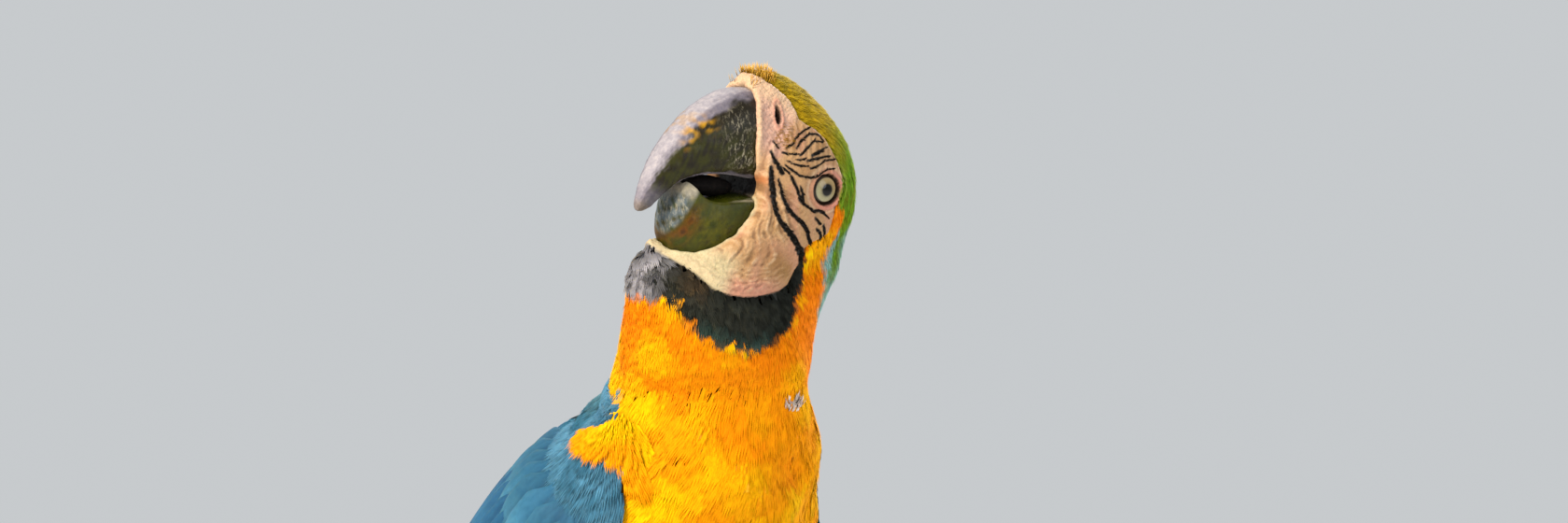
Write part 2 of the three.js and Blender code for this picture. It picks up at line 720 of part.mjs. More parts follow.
// ---------- the model ----------
const bodySkin = (grow) =>
  solid(loft(26, 24, (t, a, r) => bodyPoint(t, a, r, grow)), bodyMatrix).add(
    solid(loft(17, 22, (t, a, r) => neckPoint(t, a, r, grow))),
  );
const body = bodySkin(0);
const ringAt = (k) => k / bodyEnd;
// The plane square to the spine at t, as a world normal and its offset.
function spinePlane(t) {
  const a = bodyRun(t - 0.01);
  const b = bodyRun(t + 0.01);
  const c = bodyRun(t);
  const normal = vec(b[0] - a[0], b[1] - a[1], b[2] - a[2]).transformDirection(bodyMatrix);
  return { normal, offset: normal.dot(vec(c[0], c[1], c[2]).applyMatrix4(bodyMatrix)) };
}
const neckCut = spinePlane(ringAt(6));
const rumpCut = spinePlane(ringAt(0.62));
const headSolid = makeHead(0);
const headRoom = makeHead(1.2);
const bodyRoom = bodySkin(seam);
const below = neckCut.normal.clone().negate();
const legs = [1, -1].map(makeLeg);
const feet = [1, -1].map(makeFoot);

const neck = body
  .trimByPlane(neckCut.normal.toArray(), neckCut.offset + seam / 2)
  .subtract(headRoom)
  .subtract(solid(loft(12, 16, (t, a, r) => lowerBillPoint(t, a, r, 0.6)), headMatrix));
const torso = body
  .trimByPlane(below.toArray(), -neckCut.offset + seam / 2)
  .trimByPlane(rumpCut.normal.toArray(), rumpCut.offset + seam / 2);
const tailRoom = makeTail().trimByPlane(
  rumpCut.normal.clone().negate().toArray(),
  -rumpCut.offset + seam / 2,
);

const bill = makeBill();
addNode("head", headSolid, finishes.face);
addNode("bill_upper", bill.upper, finishes.horn);
addNode("bill_lower", bill.lower, finishes.horn);
addNode("eye_left", eyeball(1, 0), finishes.eye);
addNode("eye_right", eyeball(-1, 0), finishes.eye);
addNode("neck", neck, finishes.yellow);
addNode("torso", torso, finishes.yellow);
addNode("tail", tailRoom, finishes.blue);
const names = ["left", "right"];
[1, -1].forEach((side, i) => {
  addNode(`wing_${names[i]}`, makeWing(side).subtract(bodyRoom), finishes.blue);
  const leg = legs[i].subtract(bodyRoom);
  addNode(`leg_${names[i]}`, leg.trimByPlane([0, 0, 1], perchHeight + 46), finishes.yellow);
  addNode(
    `foot_${names[i]}`,
    feet[i].trimByPlane([0, 0, -1], -(perchHeight + 46 - seam)),
    finishes.toe,
  );
  for (const toe of toes) addNode(`claw_${toe.name}_${names[i]}`, makeClaw(toe, side), finishes.claw);
});

addNode("perch_branch", solid(loft(11, 20, perchPoint), bodyMatrix).add(solid(perchStub(), bodyMatrix)), finishes.bark);
const stand = makeStand();
addNode("stand_base", stand.disc, finishes.stand);
addNode("stand_rod", stand.rod, finishes.stand);

export default macaw;
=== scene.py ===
import math

import bmesh
import bpy
import numpy as np
from mathutils import Matrix, Vector
from mathutils.bvhtree import BVHTree


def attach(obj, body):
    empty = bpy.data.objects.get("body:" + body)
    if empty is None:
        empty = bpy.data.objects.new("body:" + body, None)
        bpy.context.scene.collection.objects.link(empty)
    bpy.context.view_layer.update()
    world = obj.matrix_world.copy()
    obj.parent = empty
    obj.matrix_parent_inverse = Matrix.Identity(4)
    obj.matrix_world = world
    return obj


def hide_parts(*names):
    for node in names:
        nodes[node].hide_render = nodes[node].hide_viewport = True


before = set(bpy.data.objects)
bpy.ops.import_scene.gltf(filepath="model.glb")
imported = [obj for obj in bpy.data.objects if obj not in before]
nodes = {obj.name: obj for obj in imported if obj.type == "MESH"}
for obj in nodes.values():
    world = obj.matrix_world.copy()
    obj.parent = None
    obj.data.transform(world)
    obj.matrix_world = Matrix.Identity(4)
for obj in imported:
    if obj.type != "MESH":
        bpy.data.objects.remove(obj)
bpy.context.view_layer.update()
mm = 0.001
draw = np.random.default_rng(7)  # all random draws come from here, in one fixed order


# small tools: colours, smooth runs through rows of numbers, and vectors
def hexColour(code):  # sRGB hex to linear
    parts = [int(code[i : i + 2], 16) / 255 for i in (1, 3, 5)]
    return np.array([c / 12.92 if c <= 0.04045 else ((c + 0.055) / 1.055) ** 2.4 for c in parts])


def ease(x, low, high):
    t = np.clip((np.asarray(x, float) - low) / (high - low), 0, 1)
    return t * t * (3 - 2 * t)


def mix(a, b, share):
    return a + (b - a) * share


def mixColours(a, b, share):  # a and b are one colour or one per point
    return a + (b - a) * np.asarray(share, float)[..., None]


def unit(v):
    return v / np.maximum(np.linalg.norm(v, axis=-1, keepdims=True), 1e-12)


def smoothRun(rows):  # the same smooth curve through rows as the CAD solids follow
    points = np.array(rows, float)
    padded = np.vstack([2 * points[0] - points[1], points, 2 * points[-1] - points[-2]])

    def at(t):
        span = np.clip(np.asarray(t, float), 0, 1) * (len(points) - 1)
        k = np.minimum(span.astype(int), len(points) - 2)
        w = (span - k)[..., None]
        a, b, c, d = padded[k], padded[k + 1], padded[k + 2], padded[k + 3]
        m, n = (c - a) / 2, (d - b) / 2
        return b + m * w + (3 * (c - b) - 2 * m - n) * w**2 + (2 * (b - c) + m + n) * w**3

    return at


def turn(v, axis, degrees):
    return np.array(Matrix.Rotation(math.radians(degrees), 3, Vector(axis)) @ Vector(v))


# the two frames that the bird is built in, in millimetres
pose = {
    "perchHeight": 400,
    "bodyHeading": 40,
    "headYaw": 42,
    "headPitch": 28.5,
    "headRoll": -9.8,
    "eyeLine": (93, -93, 692.2),
}
bodyAxes = np.array([turn(v, (0, 0, 1), pose["bodyHeading"] - 90) for v in np.eye(3)])
bodyOrigin = np.array([0, 0, pose["perchHeight"]], float)
headForward = turn((-1, 0, 0), (0, 0, 1), pose["headYaw"])
headLeft = np.cross((0, 0, 1), headForward)
headForward = turn(headForward, headLeft, -pose["headPitch"])
headUp = np.cross(headForward, headLeft)
headLeft = turn(headLeft, headForward, pose["headRoll"])
headUp = turn(headUp, headForward, pose["headRoll"])
headAxes = np.array([headForward, headLeft, headUp])
headOrigin = np.array(pose["eyeLine"], float)


def toHead(p):
    return (p - headOrigin) @ headAxes.T


def fromHead(p):
    return headOrigin + np.asarray(p, float) @ headAxes


def toBody(p):
    return (p - bodyOrigin) @ bodyAxes.T


def fromBody(p):
    return bodyOrigin + np.asarray(p, float) @ bodyAxes


# objects, meshes and materials
def place(obj, body="root", instead=()):
    if obj.name not in bpy.context.scene.collection.objects:
        bpy.context.scene.collection.objects.link(obj)
    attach(obj, body)
    if instead:
        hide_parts(*instead)
    return obj


def meshOf(name, points, triangles):  # a mesh from arrays of millimetre points and corners
    mesh = bpy.data.meshes.new(name)
    mesh.vertices.add(len(points))
    mesh.vertices.foreach_set("co", (points * mm).astype(np.float32).ravel())
    mesh.loops.add(triangles.size)
    mesh.loops.foreach_set("vertex_index", triangles.astype(np.int32).ravel())
    mesh.polygons.add(len(triangles))
    mesh.polygons.foreach_set("loop_start", np.arange(0, triangles.size, 3, dtype=np.int32))
    mesh.update(calc_edges=True)
    mesh.shade_smooth()
    return mesh


def pointsOf(mesh):
    flat = np.empty(len(mesh.vertices) * 3, np.float32)
    mesh.vertices.foreach_get("co", flat)
    return flat.reshape(-1, 3).astype(float) / mm


def setPoints(mesh, points):
    mesh.vertices.foreach_set("co", (points * mm).astype(np.float32).ravel())
    mesh.update()


def normalsOf(mesh):
    flat = np.empty(len(mesh.vertices) * 3, np.float32)
    mesh.vertex_normals.foreach_get("vector", flat)
    return flat.reshape(-1, 3).astype(float)


def setColours(mesh, name, colours):
    layer = mesh.color_attributes.new(name, "FLOAT_COLOR", "POINT")
    full = np.ones((len(colours), 4), np.float32)
    full[:, :3] = np.clip(colours, 0, 1)
    layer.data.foreach_set("color", full.ravel())


def setValues(mesh, name, values):
    layer = mesh.attributes.new(name, "FLOAT", "POINT")
    layer.data.foreach_set("value", np.asarray(values, np.float32))


def perMetre(millimetres):  # scale of a noise whose grains are this many millimetres long
    return 1000 / millimetres


def copyOf(name, *sources):  # one mesh from copies of CAD nodes, their loose triangles merged
    bm = bmesh.new()
    for source in sources:
        bm.from_mesh(nodes[source].data)
    bmesh.ops.remove_doubles(bm, verts=bm.verts, dist=1e-6)
    mesh = bpy.data.meshes.new(name)
    bm.to_mesh(mesh)
    bm.free()
    return bpy.data.objects.new(name, mesh)


def applyModifiers(obj):
    shown = obj.evaluated_get(bpy.context.evaluated_depsgraph_get())
    mesh = bpy.data.meshes.new_from_object(shown)
    obj.modifiers.clear()
    obj.data = mesh
    return obj


def remeshed(obj, size, smooth=0):
    bpy.context.scene.collection.objects.link(obj)
    step = obj.modifiers.new("remesh", "REMESH")
    step.mode = "VOXEL"
    step.voxel_size = size * mm
    if smooth:
        step = obj.modifiers.new("smooth", "SMOOTH")
        step.iterations = smooth
        step.factor = 0.5
    return applyModifiers(obj)


def material(name):
    made = bpy.data.materials.new(name)
    made.use_nodes = True
    made.node_tree.nodes.clear()
    out = made.node_tree.nodes.new("ShaderNodeOutputMaterial")
    return made, made.node_tree, out


def rgba(colour):
    if isinstance(colour, str):
        colour = hexColour(colour)
    return (*[float(c) for c in colour[:3]], 1.0)


# links are sockets and what feeds them, a socket or a value
def node(tree, kind, links=(), stops=(), **settings):
    made = tree.nodes.new("ShaderNode" + kind)
    for key, value in settings.items():
        setattr(made, key, value)
    for socket, source in dict(links).items():
        if isinstance(source, bpy.types.NodeSocket):
            tree.links.new(source, made.inputs[socket])
        else:
            made.inputs[socket].default_value = source
    for k, (at, colour) in enumerate(stops):  # places and colours along a colour ramp
        point = made.color_ramp.elements[k] if k < 2 else made.color_ramp.elements.new(at)
        point.position, point.color = at, rgba(colour)
    return made


# camera, floor and light
view = {
    "place": (90.6, -4093, 658.7),
    "distance": 4000,  # to the plane through the eyes
    "millimetresPerPixel": 0.37,  # in that plane
    "pixelsAcross": 1680,
    "sensor": 36,
}


def makeCamera():
    data = bpy.data.cameras.new("camera")
    data.sensor_width = view["sensor"]
    across = view["pixelsAcross"] * view["millimetresPerPixel"]
    data.lens = view["sensor"] * view["distance"] / across
    data.clip_end = 200
    camera = bpy.data.objects.new("camera", data)
    camera.location = Vector(view["place"]) * mm
    camera.rotation_euler = (math.radians(90), 0, 0)
    bpy.context.scene.collection.objects.link(camera)
    bpy.context.scene.camera = camera


def makeStage():
    bm = bmesh.new()
    bmesh.ops.create_circle(bm, cap_ends=True, segments=96, radius=14)
    mesh = bpy.data.meshes.new("floor")
    bm.to_mesh(mesh)
    bm.free()
    floor = bpy.data.objects.new("floor", mesh)
    bpy.context.scene.collection.objects.link(floor)
    paint, tree, out = material("matt white paint")  # pale and even
    coords = node(tree, "TexCoord").outputs["Object"]
    mottle = node(tree, "TexNoise", {"Vector": coords, "Scale": 3.0})
    tone = node(tree, "ValToRGB", {"Fac": mottle.outputs["Fac"]}, [(0.3, "#d9d7d2"), (0.7, "#dedcd8")])
    shader = node(tree, "BsdfPrincipled", {"Base Color": tone.outputs["Color"], "Roughness": 0.9})
    tree.links.new(shader.outputs[0], out.inputs["Surface"])
    mesh.materials.append(paint)

    world = bpy.data.worlds.new("studio")
    bpy.context.scene.world = world
    world.use_nodes = True
    world.node_tree.nodes["Background"].inputs["Color"].default_value = rgba("#e9edf0")
    world.node_tree.nodes["Background"].inputs["Strength"].default_value = 0.7


lamps = [  # name, place and aim in millimetres, size, power in watts, colour
    ("key", (-1300, -1500, 1900), (90, -90, 640), 1100, 95, "#fff4e4"),
    ("fill", (1800, -1500, 1000), (90, -90, 640), 1400, 18, "#eef4ff"),
    ("back", (1000, 1300, 1700), (60, 0, 620), 900, 45, "#ffffff"),
]


def makeLamps():
    for name, spot, aim, size, power, colour in lamps:
        data = bpy.data.lights.new(name, "AREA")
        data.shape = "DISK"
        data.size = size * mm
        data.energy = power
        data.color = rgba(colour)[:3]
        lamp = bpy.data.objects.new(name, data)
        lamp.location = Vector(spot) * mm
        away = Vector(spot) - Vector(aim)
        lamp.rotation_euler = away.to_track_quat("Z", "Y").to_euler()
        bpy.context.scene.collection.objects.link(lamp)


bpy.context.scene.view_settings.view_transform = "Standard"  # keeps the yellow as deep as it is mixed
makeCamera()
makeStage()
makeLamps()
print("camera, floor and light made")

# markings, shared by the skin and the coat
# Outlines on the side of the head, as forward and up in the head's frame, in millimetres.
faceOutline = [
    (52, 25), (42, 24.2), (36, 23.6), (31, 23), (27.3, 22), (24, 19.5), (22, 17.2), (18.6, 16.9),
    (14.2, 17.2),
    (9, 16.4), (3.4, 13.6), (-1.6, 10.8), (-5.2, 7.6), (-6.9, 3.4), (-8.9, -2.6), (-11.3, -6.4),
    (-13.3, -10.4), (-14.6, -14.6), (-11.6, -18.5), (-8.6, -21.5), (-6.2, -25.5), (-8, -28.5), (-8.6, -32),
    (-8.9, -37), (-8.2, -40.9), (-4.8, -45.5), (0, -49.4), (5, -53.2), (9.8, -56.2), (16.4, -58.8),
    (22.4, -59.9),
    (25.8, -59), (28.6, -58), (32, -57.4), (35.5, -57), (39, -56.6), (42, -55.8), (46, -54), (52, -52),
]
bibOutline = [
    (50, -50), (38, -52), (30, -50), (22, -53), (14, -52), (6, -48), (0, -42), (-3, -34), (-3, -28),
    (-6.2, -25.5),
    (-11.5, -28.2), (-13.9, -30.8), (-15.4, -35.4), (-17.6, -42.7), (-18, -54.3), (-12.1, -66.2), (-2.6, -75),
    (9.1, -78.5), (21.9, -77.5), (30, -72.5), (38, -76.5), (60, -76), (60, -50),
]
# Lines of tiny black feathers: forward, up and the line's width at each of its points.
faceLines = [
    [(27.5, -0.9, 1.1), (24.2, -3.6, 1.5)],
    [(24.9, -6.2, 1.4), (22.9, -9.5, 1.6), (20.6, -13.4, 1.8), (17.6, -17.1, 1.8), (14.8, -20.2, 1.8),
     (11.7, -22.4, 1.9), (7.8, -23.6, 2), (3.5, -24.6, 2.4), (-0.8, -26.3, 2.7), (-5.4, -27.9, 3.2),
     (-9.2, -30.2, 4), (-11.2, -33, 4.6), (-12, -37, 5.2), (-13, -41.5, 5.8), (-13.4, -46, 6)],
    [(20, -8.8, 0.9), (17.5, -11.6, 1.2), (14.9, -14.7, 1.5), (10.6, -17, 1.8), (6.4, -17.7, 1.6),
     (1.8, -18.1, 1.7), (-2, -19.4, 1.8), (-5.7, -21.6, 1.8), (-10.2, -23.8, 1.5), (-13.2, -26.5, 0.9)],
    [(24.1, -3, 1.5), (20.2, -5.8, 1.8)],
    [(16.4, -5.2, 1.2), (13.2, -7, 1.3), (10.6, -8.9, 1.2), (7.6, -11.2, 1.5), (5, -11.8, 0.9)],
    [(11, -6.4, 0.8), (8.6, -8.4, 1.1), (6.6, -10.6, 1.1)],
    [(5.2, -11.5, 1.1), (-0.5, -11.3, 1.3), (-3.8, -9.8, 1.2), (-5.5, -9.5, 1.1), (-9.4, -9.8, 0.5)],
    [(-2.8, -13.3, 1.1), (-6.6, -14, 1.3)],
    [(-9.1, -13.4, 1.4), (-11.5, -14.9, 1.5), (-13, -17.2, 1.2)],
    [(-6.5, -16.4, 1.2), (-9.8, -16.8, 1.4), (-12.4, -18.8, 1.8), (-13.8, -22, 1.1)],
    [(-8.5, -22.2, 0.9), (-12.6, -24.2, 0.9)],
    [(20.2, -2.5, 0.7), (16.5, -2.9, 0.9), (13, -2.9, 0.9), (7.6, -0.9, 0.9), (5.6, 1.1, 0.8), (4.8, 3, 0.7),
     (3, 5.4, 0.5), (0.3, 7.5, 0.3)],
    [(20.4, -0.6, 0.6), (17.8, -0.4, 0.7), (14.1, 0.8, 0.7), (11.6, 2.3, 0.5)],
    [(23.3, 1.3, 0.8), (21, 2, 0.8), (17.8, 4, 0.6)],
    [(17.4, 1.7, 0.6), (14.3, 3.8, 0.6)],
    [(22.7, 3.6, 0.8), (21.2, 6.6, 0.8), (20.8, 9.8, 0.7), (19, 13.5, 0.7), (17, 16.2, 0.5)],
    [(19.2, 5.8, 0.9), (18.4, 9.9, 0.8), (16.3, 13.7, 0.8), (13, 15.6, 0.7), (9.6, 14.9, 0.5)],
    [(16.6, 4.1, 0.9), (15, 8.6, 0.9), (13.2, 12.6, 0.8), (9.6, 13.9, 0.6)],
    [(11.9, 6.8, 1.1), (9.6, 9.7, 1.4), (7.4, 12.9, 0.6)],
    [(12.8, 3.9, 1), (10.5, 6, 1.1), (8.1, 7.9, 0.8), (4.6, 10.8, 0.6)],
    [(10.5, 1.9, 0.9), (7.4, 4.8, 0.8), (5.9, 7.8, 0.7), (1.3, 11, 0.5)],
    [(28.5, 3.1, 0.6), (26, 2, 0.7)],
    [(21.4, -3.9, 0.7), (17.8, -4.4, 0.9)],
]
eyePlace = {"back": -1.3, "up": -1.2, "side": 14.6, "radius": 9.5, "forwardTurn": -1}
nostril = {"forward": 30.6, "up": 13.6, "half": 1.35, "long": 3.6}
gape = (24.0, -12.0)
plumage = {
    "gold": "#a98610",
    "green": "#5c8212",
    "olive": "#6a5c10",
    "nape": "#7fa79a",
    "bib": "#1c1d18",
    "bibEdge": "#263a34",
    "bibGrey": "#747072",
    "bibBrown": "#3a2c1c",
    "orange": "#fb7c00",
    "yellow": "#ff9800",
    "bright": "#ffc000",
    "white": "#f2e2d0",
    "mantle": "#2a6079",
    "skin": "#a9835a",
    "pink": "#b57c68",
    "ochre": "#8a6230",
    # pale is also the painted highlight on the cere's top, the lids' crest and the folds' ridges; crease is
    # painted shade in the face's folds
    "pale": "#c9aa86",
    "crease": "#5d3a20",
    "cere": "#bb9484",
    "chin": "#b8ae88",
    "gape": "#b06a3a",
    "mouth": "#0d0807",
    "nostril": "#24120d",
    "line": "#120f0c",
}
plumage = {name: hexColour(code) for name, code in plumage.items()}


def insideOutline(x, y, outline):
    inside = np.zeros(len(x), bool)
    x0, y0 = outline[-1]
    for x1, y1 in outline:
        crosses = (y1 > y) != (y0 > y)
        at = (x0 - x1) * (y - y1) / np.where(y0 == y1, 1e-9, y0 - y1) + x1
        inside ^= crosses & (x < at)
        x0, y0 = x1, y1
    return inside


def lineDistance(x, y, line):  # distance to a line of points, and the nearest place along it in points
    best = np.full(len(x), 1e9)
    along = np.zeros(len(x))
    for k, (a, b) in enumerate(zip(line[:-1], line[1:])):
        dx, dy = b[0] - a[0], b[1] - a[1]
        t = np.clip(((x - a[0]) * dx + (y - a[1]) * dy) / (dx * dx + dy * dy), 0, 1)
        away = np.hypot(x - a[0] - t * dx, y - a[1] - t * dy)
        along = np.where(away < best, k + t, along)
        best = np.minimum(best, away)
    return best, along


def outlineDepth(x, y, outline):  # distance inside an outline, negative outside
    away, _ = lineDistance(x, y, outline + outline[:1])
    return np.where(insideOutline(x, y, outline), away, -away)


def ripple(p, size, seed=0):  # smooth waves with no direction, from -1 to 1, about size millimetres long
    total = np.zeros(len(p))
    for k in range(5):
        angle = np.array([math.sin(seed + 1.7 * k), math.cos(seed * 1.3 + 2.1 * k), math.sin(2.9 * k + seed)])
        total += np.sin(p @ unit(angle) * (2 * math.pi / size) * (1 + 0.23 * k) + seed * 3 + k)
    return total / 3.2


def spot(x, y, cx, cy, rx, ry):  # a soft spot that is 1 in its middle
    return np.exp(-(((x - cx) / rx) ** 2) - ((y - cy) / ry) ** 2)


bodyRows = [
    [-60, 0, 30, 18, 14, 13], [-44, 0, 50, 27, 25, 22], [-14, 0, 79, 42, 42, 38], [24, 0, 112, 54, 57, 52],
    [60, 0, 148, 65, 67, 56], [88, 0, 184, 53, 51, 43], [101, -1, 208, 42, 42, 38],
    [110, -3, 224, 33, 33, 31],
    [115, -4, 234, 18, 18, 18],
]
neckRows = [  # height, centre x y, heading of the front
    [586, 56, -64, -60], [600, 59.5, -74, -80], [614, 61.8, -83, -100], [632, 64.5, -92, -125],
    [644, 67.6, -98, -136], [658, 71.8, -102, -147], [671.5, 82.5, -97.5, -148],
]


def around(p):  # angle from the bird's front line, 0, to its back line, 180, and which side
    neck = np.array(neckRows, float)
    turnHere = np.interp(p[:, 2], neck[:, 0], neck[:, 3])
    cx = np.interp(p[:, 2], neck[:, 0], neck[:, 1])
    cy = np.interp(p[:, 2], neck[:, 0], neck[:, 2])
    neckAngle = np.degrees(np.arctan2(p[:, 1] - cy, p[:, 0] - cx)) - turnHere
    neckAngle = (neckAngle + 180) % 360 - 180
    local = toBody(p)
    rows = np.array(bodyRows, float)
    # The spine leans forward, so the ring of a point is found by its height along the spine.
    spine = unit(np.array([0.62, 0, 0.785]))
    reach = local @ spine
    rowReach = rows[:, :3] @ spine
    sx = np.interp(reach, rowReach, rows[:, 0])
    sz = np.interp(reach, rowReach, rows[:, 2])
    front = (local[:, 0] - sx) * 0.785 - (local[:, 2] - sz) * 0.62
    bodyAngle = np.degrees(np.arctan2(local[:, 1], front))
    share = ease(p[:, 2], 575, 592)
    both = np.where(np.abs(neckAngle - bodyAngle) > 180, bodyAngle, mix(bodyAngle, neckAngle, share))
    return np.where(share > 0.99, neckAngle, both)


bibEdge = [(-17, -42), (-17.8, -54.3), (-12.1, -66.2), (-2.6, -75), (9.1, -78.5), (21.9, -77.5), (38, -76)]
napeEdge = [(-60, -40), (-38.8, -34.5), (-30, -30.6), (-20.5, -28.8), (-11.4, -27.6), (-3.7, -18.9),
            (4.5, -6.5),
            (9.7, -5)]  # height and forward place where the head's side turns green
fluff = {"place": (97.5, -98, 601), "spread": (3.0, 1.5, 1.1), "lean": (-0.5, -0.3, 0.5), "count": 46}


def featherColour(p):  # colour of the coat at points in world millimetres
    f, l, u = toHead(p).T
    ragged = ripple(p, 9, 1) * 1.1
    angle = np.abs(around(p))
    deep = ease(ripple(p, 34, 2) * 0.7 + (p[:, 2] - 606) / 36 + 0.4 * ease(angle, 60, 110), -0.9, 1.3)
    yellow = mixColours(plumage["yellow"], plumage["orange"], deep)
    yellow = mixColours(yellow, plumage["bright"], ease(ripple(p, 46, 5), 0, 1) * (1 - deep) * 0.8)
    side = ease(around(p), 20, 55) * ease(p[:, 2], 596, 612)
    yellow = mixColours(yellow, plumage["orange"], side * 0.5)
    # painted shade and painted highlight: orange in the hollows between the soft swells of the plumage and
    # bright yellow on their tops; coatDepth raises the skin with the same waves
    swell = ripple(p, 40, 61)
    yellow = mixColours(yellow, plumage["orange"], 0.5 * ease(-swell, 0.1, 1.0))
    yellow = mixColours(yellow, plumage["bright"], 0.45 * ease(swell, 0.2, 1.0))
    # painted highlight: the breast's side that faces the key light is painted brighter yellow
    left = ease(-around(p), 40, 75) * ease(p[:, 2], 590, 604)
    yellow = mixColours(yellow, plumage["bright"], left * 0.7)
    # blue starts behind the neck's sides and behind the shoulders
    edge = np.interp(p[:, 2], [430, 470, 520, 570, 600, 618, 629, 640, 650, 668],
                     [62, 84, 97, 106, 114, 124, 137, 145, 153, 163])
    # the scapulars reach forward over the right shoulder
    forward = np.interp(p[:, 2], [584, 590, 597, 603, 609, 618], [97, 82, 66, 68, 90, 124])
    edge = np.where(around(p) < 0, np.minimum(edge, forward), edge)
    back = ease(angle + ragged * 3, edge - 2.5, edge + 2.5)
    blue = mixColours(plumage["mantle"], plumage["nape"], ease(p[:, 2], 585, 640))
    colour = mixColours(yellow, blue, back)
    # gold over the forehead, green behind the eye, pale blue-green down the nape, and the same pale
    # blue-green as a painted rim highlight along the head's back line
    front = ease(f + ragged * 2, -14, 12)
    crown = mixColours(plumage["green"], plumage["gold"], front)
    crown = mixColours(crown, plumage["olive"], ease(ripple(p, 10, 13), 0, 0.9) * 0.55)
    # painted highlight: rim is a pale stripe along the back line of the head, where its outline catches the
    # light
    rim = ease(np.abs(l), 9, 2.5) * ease(f, -6, -24)
    crown = mixColours(crown, plumage["nape"], np.clip(rim + ease(u, -18, -34) * 0.5, 0, 1))
    table = np.array(napeEdge)
    green = ease(np.interp(u, table[:, 0], table[:, 1]) - f + ragged, -0.8, 0.8)
    green = np.maximum(green, ease(u, -5, -3))
    colour = mixColours(colour, crown, green * ease(p[:, 2], 641, 648))
    # black bib, blue-green along its lower edge, grey where light combs through it
    depth = outlineDepth(f, u, bibOutline) + ragged
    away, _ = lineDistance(f, u, bibEdge)
    tint = ease(away, 7, 1.5) * ease(f, 24, 12) * ease(f, -14, -4)
    bib = mixColours(plumage["bib"], plumage["bibEdge"], tint * 0.6)
    bib = mixColours(bib, plumage["bibBrown"], spot(f, u, 27, -63, 5, 4) * 0.8)
    bib = mixColours(bib, plumage["bibGrey"], ease(l, 12, 4) * ease(f, 28, 36)
                     * ease(ripple(p, 8, 3), -1.2, 0.1))
    inBib = ease(depth, -0.6, 0.8) * (p[:, 2] < 690)
    colour = mixColours(colour, bib, inBib)
    return colour, inBib


def inkOf(p, f, l, u):  # how much a point lies on one of the face's black lines
    ink = np.zeros(len(p))
    rough = 0.9 + 0.25 * ripple(p, 3.2, 6)
    for line in faceLines:
        away, along = lineDistance(f, u, line)
        half = np.interp(along, np.arange(len(line)), [point[2] for point in line]) * 0.62 * rough
        ink = np.maximum(ink, ease(away, half + 0.22, half - 0.18))
    return ink * (np.abs(l) > 6)


def bareShare(p):
    f, _, u = toHead(p).T
    depth = outlineDepth(f, u, faceOutline)
    return ease(depth, -0.3, 0.5) * ease(p[:, 2], 622, 626), depth


def holeOf(f, u):  # distance from the nostril's middle, 1 at its rim
    nx, ny = f - nostril["forward"], u - nostril["up"]
    return np.hypot((nx * 0.88 - ny * 0.47) / nostril["half"], (nx * 0.47 + ny * 0.88) / nostril["long"])


# the skin: one surface under all feathers, and the bare face itself
skinSetting = {
    "voxel": 2.1,
    "smooth": 5,
    "faceCuts": 2,  # times that the face's mesh is cut in half for its folds
    "crownDepth": 1.4,  # how deep the skin lies under the coat's outer surface
    "neckDepth": 2.1,
    "bodyDepth": 2.6,
    "bulge": 2.6,  # soft swells of the plumage
}
eyeCentres = {
    side: fromHead((eyePlace["back"], side * eyePlace["side"], eyePlace["up"])) for side in (1, -1)
}
eyeAxes = {}
for side in (1, -1):
    a = math.radians(eyePlace["forwardTurn"])
    eyeAxes[side] = math.sin(a) * headAxes[0] + side * math.cos(a) * headAxes[1]


def treeOf(*names):
    points, faces = [], []
    for name in names:
        mesh = nodes[name].data
        faces += [tuple(v + len(points) for v in face.vertices) for face in mesh.polygons]
        points += [tuple(v.co / mm) for v in mesh.vertices]
    return BVHTree.FromPolygons(points, faces)


billTrees = {"upper": treeOf("bill_upper"), "lower": treeOf("bill_lower")}


def awayFromBill(p, which, near):
    away = np.full(len(p), 99.0)
    for k in np.nonzero(near)[0]:
        away[k] = billTrees[which].find_nearest(p[k])[3]
    return away


def coatDepth(p, bare):
    _, _, u = toHead(p).T
    depth = mix(skinSetting["bodyDepth"], skinSetting["neckDepth"], ease(p[:, 2], 560, 620))
    depth = mix(depth, 1.8, ease(p[:, 2], 636, 660))
    depth = mix(depth, skinSetting["crownDepth"], ease(u, -20, 2) * (p[:, 2] > 650))
    depth = mix(depth, 1.0, ease(p[:, 2], 465, 450))
    swell = ripple(p, 40, 61) * ease(p[:, 2], 632, 600) * ease(p[:, 2], 455, 480)
    swell += 0.4 * ripple(p, 19, 62) * ease(p[:, 2], 640, 610) * ease(p[:, 2], 455, 480)
    return (depth - skinSetting["bulge"] * swell * 0.8) * (1 - bare)


def sculptLids(p):
    # profile of the lids: distance from the eye's axis, height over the eyeball's centre
    profile = np.array([[0, 5.5], [5.5, 5.9], [6.05, 7.4], [6.4, 8.5], [7.0, 9.1], [7.8, 8.9], [8.5, 8.1],
                        [9.2, 8.45], [10.0, 8.0], [11.0, 7.75]])
    for side in (1, -1):
        away = p - eyeCentres[side]
        height = away @ eyeAxes[side]
        flat = away - height[:, None] * eyeAxes[side]
        # the lids' opening is a little longer from front to back than high
        long = unit(0.93 * headAxes[0] + 0.36 * headAxes[2])
        out = np.hypot(flat @ long / 1.0, np.linalg.norm(flat - (flat @ long)[:, None] * long, axis=1) / 0.97)
        near = (out < 13) & (height > 2)
        wanted = np.interp(out, profile[:, 0], profile[:, 1])
        # a fuller roll behind the eye, with creases across it
        behind = ease(-(flat @ headAxes[0]), 0, 6) * np.exp(-(((out - 7.6) / 1.5) ** 2))
        angle = np.arctan2(flat @ headAxes[2], flat @ headAxes[0])
        wanted = wanted + behind * (0.7 + 0.18 * np.sin(angle * 26))
        wanted = wanted + 0.1 * np.sin(angle * 34) * ease(out, 6.2, 7.2) * ease(out, 9.6, 8.4)
        share = (1 - ease(out, 9, 12.5)) * near
        p = p + ((wanted - height) * share)[:, None] * eyeAxes[side]
    return p


